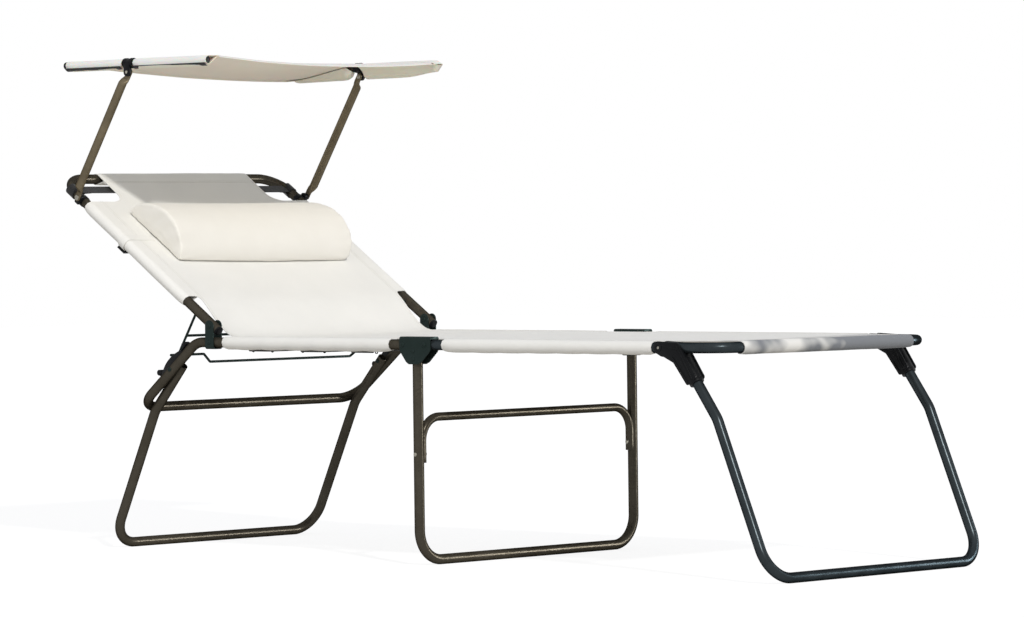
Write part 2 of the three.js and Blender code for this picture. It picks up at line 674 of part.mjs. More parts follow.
function footCoverSolid() {
  const top = railHeight + coverTop;
  const { start, sleeveStart, sleeveEnd } = footCover;
  const [sideEdge, endEdge] = [railX - footCover.openInset, railX - footCover.endInset];
  const panel = slab([
    [-footLength, endEdge], [-footLength + footCornerRadius, sideEdge - sleeveRadius],
    [-sleeveEnd - cover.step, sideEdge],
    ...rowsBetween(-sleeveEnd, -sleeveStart, railX),
    [-sleeveStart + cover.step, openEdge], [-start, openEdge],
  ], (x, y) => top - sagAt(x, cover.sag) * fade(y, -start, -footLength), cover.thick);
  const sleeves = SIDES.map(([, sign]) =>
    sleeveAlong(sign * railX, -sleeveEnd, -sleeveStart, railHeight, sleeveRadius));
  const endSleeve = tubeAlong([
    [-endEdge, -footLength, railHeight], [endEdge, -footLength, railHeight],
  ], sleeveRadius);
  const bores = SIDES.map(([, sign]) =>
    sleeveAlong(sign * railX, -sleeveEnd - overrun, -start + overrun, railHeight, sleeveBore));
  const endBore = tubeAlong([
    [-endEdge - overrun, -footLength, railHeight], [endEdge + overrun, -footLength, railHeight],
  ], sleeveBore);
  return cut(join([panel, ...sleeves, endSleeve]), [...bores, endBore]);
}

// The lacing zigzags between the sleeves and runs a little way along each of them.
function seatLacing() {
  const [x, z] = [railX - lacing.inset, railHeight - sleeveRadius - lacing.drop];
  const { sleeveStart } = seatCover;
  const run = hingeY - seatCover.sleeveRoom - sleeveStart;
  const places = lacingSideShares.map((share) => sleeveStart + run * share);
  const corners = [];
  for (let i = 0; i < places.length; i += 2) {
    const [near, far] = [places[i], places[i + 1]];
    corners.push([-x, near, z, lacing.bend], [-x, far, z, lacing.bend]);
    if (i + 2 < places.length) {
      const step = places[i + 2] - far;
      corners.push(...lacingCrossShares.map((share) => [x, far + step * share, z, lacing.bend]));
    }
  }
  corners[0].pop();
  corners[corners.length - 1].pop();
  return tubeAlong(corners, lacing.radius, { sides: rodSides });
}

// Back frame: built on its own axes, Y up the back and Z square to it, from the hinge pin

const backPath = [
  [-railX, -backTail, 0],
  [-railX, backLength, 0, backCornerRadius],
  [railX, backLength, 0, backCornerRadius],
  [railX, -backTail, 0],
];

function backFrame() {
  const bars = tubeAlong(backPath, tubeRadius, { wall: tubeWall });
  const cutters = SIDES.flatMap(([, sign]) => {
    const inner = sign * (railX - tubeRadius / 2);
    const inside = sign * propSideX;
    return [
      crossHole(sign * railX, hingePinRadius, 0, 0),
      barAlongX(Math.min(inner, inside), Math.max(inner, inside), propRodRadius + fit, propAlong, 0),
    ];
  });
  return cut(bars, cutters);
}

function backPlug(sign) {
  const bore = (tubeRadius - tubeWall) * Math.cos(Math.PI / boreSides) - fit;
  const insert = tubeAlong([
    [sign * railX, -backTail - plug.cap, 0], [sign * railX, -backTail + plug.insert, 0],
  ], bore);
  const lid = loft([
    [-backTail - plug.cap, tubeRadius - plug.lip], [-backTail - plug.cap / 2, tubeRadius],
    [-backTail - fit, tubeRadius],
  ].map(([y, radius]) => ring(radius, tubeSides, 0).map((p) => [sign * railX + p.x, y, p.y])));
  const pinRoom = crossHole(sign * railX, hingePinRadius, 0, 0);
  return cut(join([insert, lid]), [pinRoom]);
}

const backSurface = (x, s) => coverTop - sagAt(x, cover.sag) * fade(s, backCover.start, backLength);

function backCoverSolid() {
  const { start, sleeveStart, sleeveEnd, notchStart, notchEnd } = backCover;
  const panel = slab([
    [start, openEdge], [sleeveStart - cover.step, openEdge],
    ...rowsBetween(sleeveStart, sleeveEnd, railX),
    [notchStart, notchEdge.outer], [notchEnd, notchEdge.inner], [backLength, notchEdge.inner],
  ], backSurface, cover.thick);
  const sleeves = SIDES.map(([, sign]) => sleeveAlong(sign * railX, sleeveStart, sleeveEnd, 0, sleeveRadius));
  const topSleeve = tubeAlong([
    [-notchEdge.inner, backLength, 0], [notchEdge.inner, backLength, 0],
  ], sleeveRadius);
  const bores = SIDES.map(([, sign]) =>
    sleeveAlong(sign * railX, sleeveStart - overrun, sleeveEnd + overrun, 0, sleeveBore));
  const topBore = tubeAlong([
    [-notchEdge.inner - overrun, backLength, 0], [notchEdge.inner + overrun, backLength, 0],
  ], sleeveBore);
  return cut(join([panel, ...sleeves, topSleeve]), [...bores, topBore]);
}

// A webbing strap across the top corners, looped round the bent tube at each end.
function backStrapSolid() {
  const { along, width, thick, height, wall } = backStrap;
  const loop = sleeveBore + wall;
  const [low, high] = [along - width / 2, along + width / 2];
  const reach = railX + loop + overrun;
  const strip = block([-reach, low, -loop - overrun], [reach, high, loop + overrun]);
  const loops = tubeAlong(backPath, loop).intersect(strip);
  const rise = high - (backLength - backCornerRadius);
  const edge = railX - backCornerRadius + Math.sqrt(backCornerRadius ** 2 - rise ** 2) - tubeRadius;
  const band = block([-edge, low, height], [edge, high, height + thick]);
  return join([band, loops]).subtract(tubeAlong(backPath, sleeveBore));
}

// The pillow is a D-shaped bolster: flat on the back cover, full above, drawn in to its ends.
function pillowSolid() {
  const rings = Array.from({ length: pillowColumns + 1 }, (_, i) => {
    const { end, narrow, drawIn, crowd, flank, crown } = pillowShares;
    const share = -1 + (2 * i) / pillowColumns;
    const swell = Math.sqrt(Math.max(0, 1 - Math.abs(share) ** drawIn)) * (1 - end) + end;
    const x = pillowHalf * Math.sign(share) * (1 - (1 - Math.abs(share)) ** crowd);
    const middle = (pillow.start + pillow.end) / 2;
    const half = ((pillow.end - pillow.start) / 2) * (narrow + (1 - narrow) * swell);
    return Array.from({ length: pillowRing }, (_point, k) => {
      const angle = (2 * Math.PI * k) / pillowRing;
      const reach = Math.sign(Math.cos(angle)) * Math.abs(Math.cos(angle)) ** flank;
      const s = middle + half * reach;
      const base = backSurface(x, s) + pillow.lift;
      const rise = Math.sin(angle) > 0 ? pillow.height * swell * Math.sin(angle) ** crown : 0;
      return [x, s, base + rise];
    });
  });
  return loft(rings);
}

// A white elastic band from the end of the pillow, over the sleeve and round under the rail.
function pillowStrapSolid(sign) {
  const inner = sleeveRadius + pillowStrap.gap;
  const outer = inner + pillowStrap.thick;
  const half = pillowStrap.width / 2;
  const [low, high] = [pillowStrap.along - half, pillowStrap.along + half];
  const x = sign * railX;
  const hoop = sleeveAlong(x, low, high, 0, outer, 2 * tubeSides)
    .subtract(sleeveAlong(x, low - overrun, high + overrun, 0, inner, 2 * tubeSides));
  const inboard = [x - sign * (outer + overrun), x];
  const open = block([Math.min(...inboard), low - overrun, -pillowStrap.wrap],
    [Math.max(...inboard), high + overrun, outer + overrun]);
  const reach = [sign * (pillowHalf + pillowStrap.pillowGap), x + sign * pillowStrap.thick];
  const band = block([Math.min(...reach), low, outer - pillowStrap.thick],
    [Math.max(...reach), high, outer - fit / 2]);
  return join([hoop.subtract(open), band]);
}

// A moulded clamp on the back rail with a lug that the canopy arm is bolted to.
function canopyFootClamp(sign) {
  const half = footClamp.length / 2;
  const [low, high] = [armClamp.along - half, armClamp.along + half];
  const x = sign * railX;
  const hoop = sleeveAlong(x, low, high, 0, footClampRadius);
  const reach = [x, sign * footClampFace];
  const lug = block([Math.min(...reach), low, -half], [Math.max(...reach), high, armClamp.rise + half]);
  const bore = sleeveAlong(x, low - overrun, high + overrun, 0, sleeveBore, 2 * tubeSides);
  const hole = [x, sign * (footClampFace + overrun)];
  return cut(join([hoop, lug]), [
    bore,
    barAlongX(Math.min(...hole), Math.max(...hole), pinHole(armBolt.radius), armClamp.along, armClamp.rise),
  ]);
}

// The bolt of a canopy arm: its shank ends in the clamp and its domed head lies outside the arm.
function canopyFootBolt(sign) {
  const tip = railX + sleeveBore + fit;
  const seat = armX + armTab.flat + fit;
  const { radius, head, height } = armBolt;
  const profile = [
    [tip, 0], [tip, radius], [seat, radius], [seat, head], [seat + height / 2, head],
    [seat + height, head - pinHead.crown], [seat + height, 0],
  ].map(([x, r]) => [sign * x, r]);
  return turnedAlongX(profile, armClamp.along, armClamp.rise);
}

// Prop frame, on the lounger's own axes

function propFrame() {
  const rise = turn(backAngle);
  const pivot = [hingeY + propAlong * Math.cos(rise), hingeZ + propAlong * Math.sin(rise)];
  const foot = [propFootY, propFootZ];
  const low = [propFootY + propCrank.run, propFootZ - propCrank.drop];
  const second = pivot.map((value, k) => value + (foot[k] - value) * secondRodShare);
  const rod = (corners) => tubeAlong(corners, propRodRadius, { sides: rodSides });
  const arms = SIDES.map(([, sign]) => rod([
    [sign * (propSideX + propStub), ...pivot],
    [sign * propSideX, ...pivot, propBendRadius],
    [sign * propSideX, ...foot],
  ]));
  const end = railX + propOverhang;
  const crankX = railX - propCrank.inset;
  const cross = rod([
    [-end, ...foot],
    [-crankX, ...foot, propBendRadius],
    [propCrank.width - crankX, ...low, propBendRadius],
    [crankX - propCrank.width, ...low, propBendRadius],
    [crankX, ...foot, propBendRadius],
    [end, ...foot],
  ]);
  const secondRod = rod([[-propSideX, ...second], [propSideX, ...second]]);
  return join([...arms, cross, secondRod]);
}

// Canopy arm: built on its own axes from the lower bolt, Y along the arm. Its ends are pressed flat
// against its inner side, so the round tube between them stands outboard of the bolts' joints.

function canopyArm(sign) {
  const { radius, length } = arm;
  const { flat, half, end, shoulder, taper } = armTab;
  const tabRings = [
    [-end, flat, half / 2], [-end / 2, flat, half],
    [shoulder, flat, half], [shoulder + taper, radius, radius],
  ];
  const stations = [...tabRings, ...tabRings.slice().reverse().map(([y, ...size]) => [length - y, ...size])];
  const rings = stations.map(([y, halfThick, halfWidth]) => {
    const axis = sign * (armX + halfThick - flat);
    return ring(1, tubeSides, Math.PI / tubeSides).map((p) => {
      const square = Math.max(Math.abs(p.x), Math.abs(p.y));
      const fullness = halfThick === flat ? 1 / square : 1;
      return [
        axis + Math.sign(p.x) * Math.min(halfThick, Math.abs(p.x) * halfThick * fullness),
        y,
        Math.sign(p.y) * Math.min(halfWidth, Math.abs(p.y) * halfWidth * fullness),
      ];
    });
  });
  const holes = [0, length].map((y) => crossHole(sign * armX, armBolt.radius, y, 0));
  return cut(loft(rings), holes);
}

// Canopy: built on its own axes from the upper bolts, Y towards the head

const canopyHead = canopyLength - canopyTube.footReach;

function canopySideTube(sign) {
  return tubeAlong([
    [sign * canopyX, -canopyTube.footReach, canopyTube.rise],
    [sign * canopyX, canopyHead, canopyTube.rise],
  ], canopyTube.radius, { wall: canopyTube.wall });
}

function canopyEndCap(sign, end, outward) {
  const bore = (canopyTube.radius - canopyTube.wall) * Math.cos(Math.PI / boreSides) - fit;
  const insert = tubeAlong([
    [sign * canopyX, end - outward * canopyCap.insert, canopyTube.rise],
    [sign * canopyX, end + outward * canopyCap.cap, canopyTube.rise],
  ], bore);
  const { radius } = canopyTube;
  const lid = loft([
    [end + outward * fit, radius], [end + (outward * canopyCap.cap) / 2, radius],
    [end + outward * canopyCap.cap, radius - canopyCap.lip],
  ].map(([y, r]) => ring(r, tubeSides, 0).map((p) => [sign * canopyX + p.x, y, canopyTube.rise + p.y])));
  return join([insert, lid]);
}

// A sheet between two sleeves, each open where the clamp grips the tube.
function canopyCoverSolid() {
  const { sleeve, bore, top, thick, sag, inset, gap } = canopyCover;
  const clampEdge = canopyX - canopyCover.openInset;
  const [foot, head] = [-canopyTube.footReach + inset, canopyHead - inset];
  const panel = slab([
    ...rowsBetween(foot, -gap / 2 - cover.step, canopyX, canopyRows),
    [-gap / 2, clampEdge], [gap / 2, clampEdge],
    ...rowsBetween(gap / 2 + cover.step, head, canopyX, canopyRows),
  ], (x) => canopyTube.rise + top - sagAt(x, sag, canopyX), thick);
  const spans = [[foot, -gap / 2 - cover.step], [gap / 2 + cover.step, head]];
  const sleeves = SIDES.flatMap(([, sign]) =>
    spans.map(([y0, y1]) => sleeveAlong(sign * canopyX, y0, y1, canopyTube.rise, sleeve)));
  const bores = SIDES.map(([, sign]) =>
    sleeveAlong(sign * canopyX, foot - overrun, head + overrun, canopyTube.rise, bore));
  return cut(join([panel, ...sleeves]), bores);
}

// A moulded clamp on the canopy tube. Its lug carries the upper bolt of the arm.
function canopyTopClamp(sign) {
  const half = canopyClamp.length / 2;
  const x = sign * canopyX;
  const hoop = sleeveAlong(x, -half, half, canopyTube.rise, canopyClamp.outer);
  const lugShape = new THREE.Shape();
  lugShape.moveTo(canopyClamp.lug, canopyTube.rise);
  lugShape.lineTo(-canopyClamp.lug, canopyTube.rise);
  lugShape.lineTo(-canopyClamp.lug, 0);
  lugShape.absarc(0, 0, canopyClamp.lug, Math.PI, 2 * Math.PI, false);
  const [near, back] = [sign * canopyClampFace, sign * canopyClampBack];
  const lug = plateAlongX(lugShape, Math.min(near, back), Math.max(near, back));
  const inner = armX - armTab.flat - fit;
  const { radius, head, height } = armBolt;
  const bolt = turnedAlongX([
    [inner - height, 0], [inner - height, head - pinHead.crown], [inner - height / 2, head], [inner, head],
    [inner, radius], [canopyClampBack, radius], [canopyClampBack, head - pinHead.crown],
    [canopyClampBack + height / 2, head - pinHead.crown], [canopyClampBack + height / 2, 0],
  ].map(([along, r]) => [sign * along, r]), 0, 0);
  const grip = canopyTube.radius + fit;
  const bore = sleeveAlong(x, -half - overrun, half + overrun, canopyTube.rise, grip, 2 * tubeSides);
  const armRoom = block(
    [Math.min(sign * inner, sign * (canopyClampFace - fit)), -half - overrun, -canopyClamp.lug - overrun],
    [Math.max(sign * inner, sign * (canopyClampFace - fit)), half + overrun, canopyClamp.lug + fit],
  );
  return join([cut(join([hoop, lug]), [bore, armRoom]), bolt]);
}

// The whole lounger

const lounger = new THREE.Group();
const frame = new THREE.Group();
lounger.add(frame);

const back = new THREE.Group();
back.position.set(0, hingeY, hingeZ);
back.rotation.x = turn(backAngle);
frame.add(back);

const arms = new THREE.Group();
arms.position.set(0, armClamp.along, armClamp.rise);
arms.rotation.x = turn(arm.angle - backAngle);
back.add(arms);

const canopy = new THREE.Group();
canopy.position.set(0, arm.length, 0);
canopy.rotation.x = -turn(arm.angle);
arms.add(canopy);

place(frame, 'seat_frame', seatFrame(), frameLacquer);
place(frame, 'seat_cover', seatCoverSolid(), coverFabric);
place(frame, 'seat_lacing', seatLacing(), elastic);
place(frame, 'head_leg', headLeg(), frameLacquer);
place(frame, 'mid_leg', midLeg(), frameLacquer);
place(frame, 'mid_brace', midBrace(), frameLacquer);
place(frame, 'foot_frame', footFrame(), frameLacquer);
place(frame, 'foot_cover', footCoverSolid(), coverFabric);
place(frame, 'foot_leg', footLegTube(), frameLacquer);
place(frame, 'prop_frame', propFrame(), steel);
place(back, 'back_frame', backFrame(), frameLacquer);
place(back, 'back_cover', backCoverSolid(), coverFabric);
place(back, 'back_strap', backStrapSolid(), blackWebbing);
place(back, 'pillow', pillowSolid(), pillowFabric);
place(canopy, 'canopy_cover', canopyCoverSolid(), canopyFabric);

// Half the grips of the pins, from their middles: what each goes through, and a clearance.
const legGrip = tubeRadius + headLegInset / 2 + fit;
const midGrip = tubeRadius + midBracket.gap + midBracket.cheek + fit;
const braceGrip = (tubeRadius + brace.radius + braceInset) / 2 + fit;
const socketGrip = socketHalf + fit;

for (const [side, sign] of SIDES) {
  const x = sign * railX;
  const legX = sign * (railX - headLegInset / 2);
  const braceX = sign * (railX - (braceInset - (tubeRadius - brace.radius)) / 2);
  // A pin of that half grip about a middle, at a place beside the rails.
  const pin = (group, name, middle, grip, radius, ...at) =>
    place(group, `${name}_${side}`, pinAlongX(middle - grip, middle + grip, radius, ...at), steel);

  place(frame, `back_hinge_bracket_${side}`, backHingeBracket(sign), bracketLacquer);
  place(frame, `mid_bracket_${side}`, midBracketChannel(sign), bracketLacquer);
  place(frame, `prop_rack_${side}`, rackBlock(sign), blackPlastic);
  place(frame, `leg_socket_${side}`, legSocket(sign), blackPlastic);
  pin(frame, 'back_bracket_rivet', x, bracketGrip, rivetRadius, hingeY, railHeight);
  pin(frame, 'head_leg_pin', legX, legGrip, pivotPinRadius, ...headLegPin);
  pin(frame, 'seat_pivot_pin', x, midGrip, pivotPinRadius, midPinOffset, railHeight);
  pin(frame, 'foot_pivot_pin', x, midGrip, pivotPinRadius, -midPinOffset, railHeight);
  pin(frame, 'mid_leg_rivet_upper', x, midGrip, rivetRadius, 0, railHeight - midRivetDrops[0]);
  pin(frame, 'mid_leg_rivet_lower', x, midGrip, rivetRadius, 0, railHeight - midRivetDrops[1]);
  pin(frame, 'brace_rivet', braceX, braceGrip, rivetRadius, 0, brace.rivet);
  pin(frame, 'foot_leg_pin', x, socketGrip, pivotPinRadius, footPinY, railHeight);
  pin(back, 'back_hinge_pin', x, bracketGrip, hingePinRadius, 0, 0);
  place(back, `back_plug_${side}`, backPlug(sign), blackPlastic);
  place(back, `pillow_strap_${side}`, pillowStrapSolid(sign), whiteElastic);
  place(back, `canopy_foot_clamp_${side}`, canopyFootClamp(sign), blackPlastic);
  place(back, `canopy_foot_bolt_${side}`, canopyFootBolt(sign), steel);
  place(arms, `canopy_arm_${side}`, canopyArm(sign), frameLacquer);
  place(canopy, `canopy_tube_${side}`, canopySideTube(sign), frameLacquer);
  place(canopy, `canopy_clamp_${side}`, canopyTopClamp(sign), blackPlastic);
  place(canopy, `canopy_cap_foot_${side}`, canopyEndCap(sign, -canopyTube.footReach, -1), blackPlastic);
  place(canopy, `canopy_cap_head_${side}`, canopyEndCap(sign, canopyHead, 1), blackPlastic);
}

// The origin lies on the floor under the middle of the whole lounger.
lounger.updateMatrixWorld(true);
const extent = new THREE.Box3().setFromObject(lounger, true);
frame.position.set(-(extent.min.x + extent.max.x) / 2, -(extent.min.y + extent.max.y) / 2, -extent.min.z);

export default lounger;
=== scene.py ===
"""Canopy sun lounger: the visible pieces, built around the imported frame.

Sizes are in millimetres on the lounger's own axes (X across, Y towards the head from the middle leg, Z up),
and Axes.at turns them into the frame's metres. Right is -X, the side nearest the camera.
"""

import logging
import math
from dataclasses import dataclass
from enum import Enum
from typing import Callable, ClassVar, Optional, Sequence

import bmesh
import bpy
from mathutils import Matrix, Vector, noise

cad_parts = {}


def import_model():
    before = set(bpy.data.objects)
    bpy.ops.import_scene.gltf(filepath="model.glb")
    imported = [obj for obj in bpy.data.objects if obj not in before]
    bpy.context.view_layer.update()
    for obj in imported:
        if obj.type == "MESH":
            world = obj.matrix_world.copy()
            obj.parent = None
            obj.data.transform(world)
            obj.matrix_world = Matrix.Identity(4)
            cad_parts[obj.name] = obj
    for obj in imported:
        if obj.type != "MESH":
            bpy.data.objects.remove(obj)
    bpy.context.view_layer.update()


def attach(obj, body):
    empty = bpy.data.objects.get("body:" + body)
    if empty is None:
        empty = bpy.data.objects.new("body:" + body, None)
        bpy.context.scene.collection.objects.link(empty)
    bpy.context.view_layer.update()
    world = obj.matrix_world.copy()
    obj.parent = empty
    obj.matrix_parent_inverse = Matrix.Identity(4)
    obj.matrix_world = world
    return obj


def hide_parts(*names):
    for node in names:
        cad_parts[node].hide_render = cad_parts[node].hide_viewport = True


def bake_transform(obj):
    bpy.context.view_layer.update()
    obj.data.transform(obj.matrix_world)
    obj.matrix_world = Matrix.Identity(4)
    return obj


log = logging.getLogger("lounger")

MM = 0.001
FRAME_SHIFT = -80.4496  # from the middle leg to the frame's own zero, along Y
SIDES = {"right": -1, "left": 1}
UP = Vector((0, 0, 1))
Point = tuple[float, ...]
Rows = list[list[Vector]]
Tree = bpy.types.NodeTree
Socket = bpy.types.NodeSocket


# Axes and lines


@dataclass(frozen=True)
class Axes:
    """Axes of a part at an angle: x across, s along it and n square to it."""

    y: float = 0.0
    z: float = 0.0
    tilt: float = 0.0

    def flat(self, s: float, n: float) -> tuple[float, float]:
        """Y and Z, in millimetres, of a point s along and n off these axes."""
        c, q = math.cos(math.radians(self.tilt)), math.sin(math.radians(self.tilt))
        return self.y + s * c - n * q, self.z + s * q + n * c

    def at(self, x: float, s: float, n: float) -> Vector:
        """The frame's point, in metres, at x, s and n on these axes."""
        y, z = self.flat(s, n)
        return Vector((x, y + FRAME_SHIFT, z)) * MM

    def child(self, s: float, n: float, tilt: float) -> "Axes":
        """Axes that start at s and n on these, at their own tilt."""
        return Axes(*self.flat(s, n), tilt)

    def off(self, n: float) -> Vector:
        """The step of n off these axes, in the frame's metres."""
        return self.at(0, 0, n) - self.at(0, 0, 0)

    def along(self, corners: Sequence[Point], turn_step: float = 6.0) -> list[Vector]:
        """The frame's points of a line through corners (x, s, n) or (x, s, n, bend radius)."""
        return [self.at(*p) for p in bent(corners, turn_step)]


RAIL_X = 336.0
RAIL_Z = 466.0
TUBE = 11.0  # radius of the frame tubes
COVER_TOP = 13.0  # height of the covers over the rails' centres
FOOT_END = -838.0  # Y of the foot frame's end bar
FOOT_PIN = -692.0  # Y of the foot leg's pins
TOP_BAR = 596.5  # place of the back frame's top bar along the back
GRIP = 13.5  # half the width over a pressed bracket
ARM_FOOT = (506.0, 9.2)  # the canopy arms' lower bolts, along the back and off it
ARM_LENGTH = 329.8  # from bolt to bolt
SHADE_X = 358.0  # the canopy's side tubes
SHADE_RISE = 20.0  # their height over the arms' upper bolts
LEVEL = Axes()
BACK = Axes(628.0, 502.0, 33.5)
ARM = BACK.child(*ARM_FOOT, 123.1)
CANOPY = ARM.child(ARM_LENGTH, 0.0, 0.0)
DROP = Axes(683.0, RAIL_Z, -38.11)  # the bent ends of the seat rails


def bent(corners: Sequence[Point], turn_step: float = 6.0) -> list[Vector]:
    """A line through corners with rounded bends.

    Args:
        corners: Points (a, b, c) or (a, b, c, bend radius).
        turn_step: Degrees between the points of a bend.

    Returns:
        The points of the line, in the units of the corners.
    """
    line: list[Vector] = []
    for i, corner in enumerate(corners):
        here = Vector(corner[:3])
        radius = corner[3] if len(corner) > 3 else 0.0
        if not radius or i in (0, len(corners) - 1):
            line.append(here)
            continue
        back = (Vector(corners[i - 1][:3]) - here).normalized()
        ahead = (Vector(corners[i + 1][:3]) - here).normalized()
        half = back.angle(ahead) / 2
        centre = here + (back + ahead).normalized() * (radius / math.sin(half))
        start = here + back * (radius / math.tan(half)) - centre
        axis = back.cross(ahead).normalized()
        total = math.pi - 2 * half
        steps = max(2, math.ceil(math.degrees(total) / turn_step))
        for k in range(steps + 1):
            line.append(centre + Matrix.Rotation(-total * k / steps, 3, axis) @ start)
    return line


def mirrored(half: Sequence[Point], turn_step: float = 4.0) -> list[Vector]:
    """The frame's path from one side's corners: over to the other side and back along it."""
    other = [(-p[0], *p[1:]) for p in half]
    return LEVEL.along([*other, *half[::-1]], turn_step)


def spread(first: float, last: float, steps: int) -> list[float]:
    """Evenly spaced values from first to last, both included."""
    return [first + (last - first) * i / steps for i in range(steps + 1)]


def ease(value: float, start: float, end: float) -> float:
    """A smooth step from 0 at start to 1 at end."""
    t = min(1.0, max(0.0, (value - start) / (end - start)))
    return t * t * (3 - 2 * t)


def turns(sides: int) -> list[float]:
    """Angles once round, in radians, with the first again at the end."""
    return [2 * math.pi * k / sides for k in range(sides + 1)]


def arc(centre: Point, radius: float, first: float, last: float, steps: int) -> list[Point]:
    """Points of an arc in a plane, by angles in degrees."""
    return [(centre[0] + radius * math.cos(math.radians(a)), centre[1] + radius * math.sin(math.radians(a)))
            for a in spread(first, last, steps)]


def rounded(outline: Sequence[Point]) -> list[Point]:
    """A closed outline in a plane with rounded corners, from points (a, b) or (a, b, radius)."""
    count = len(outline)
    found: list[Point] = []
    for i, corner in enumerate(outline):
        trio = [outline[i - 1], corner, outline[(i + 1) % count]]
        flat = [(p[0], p[1], 0.0) for p in trio]
        if len(corner) > 2:
            flat[1] = (corner[0], corner[1], 0.0, corner[2])
            found += [(p.x, p.y) for p in bent(flat, 15.0)[1:-1]]
        else:
            found.append((corner[0], corner[1]))
    return found


# Meshes


class End(Enum):
    """How a tube ends."""

    OPEN = "open"
    FLAT = "flat"
    HOLLOW = "hollow"
    ROUND = "round"


def end_rings(end: End, radius: float) -> list[tuple[float, float]]:
    """Rings (radius, advance) that finish a tube beyond its last point."""
    if end is End.FLAT:
        lip = min(0.6, radius / 3)
        return [(radius - 0.3 * lip, 0.7 * lip), (radius - lip, lip)]
    if end is End.HOLLOW:
        return [(radius - 0.3, 0.3), (radius - 1.0, 0.3), (radius - 1.3, 0.0), (radius - 1.3, -14.0)]
    if end is End.ROUND:
        return [(radius * math.cos(math.radians(a)), radius * math.sin(math.radians(a)))
                for a in (20, 40, 58, 74, 86)]
    return []


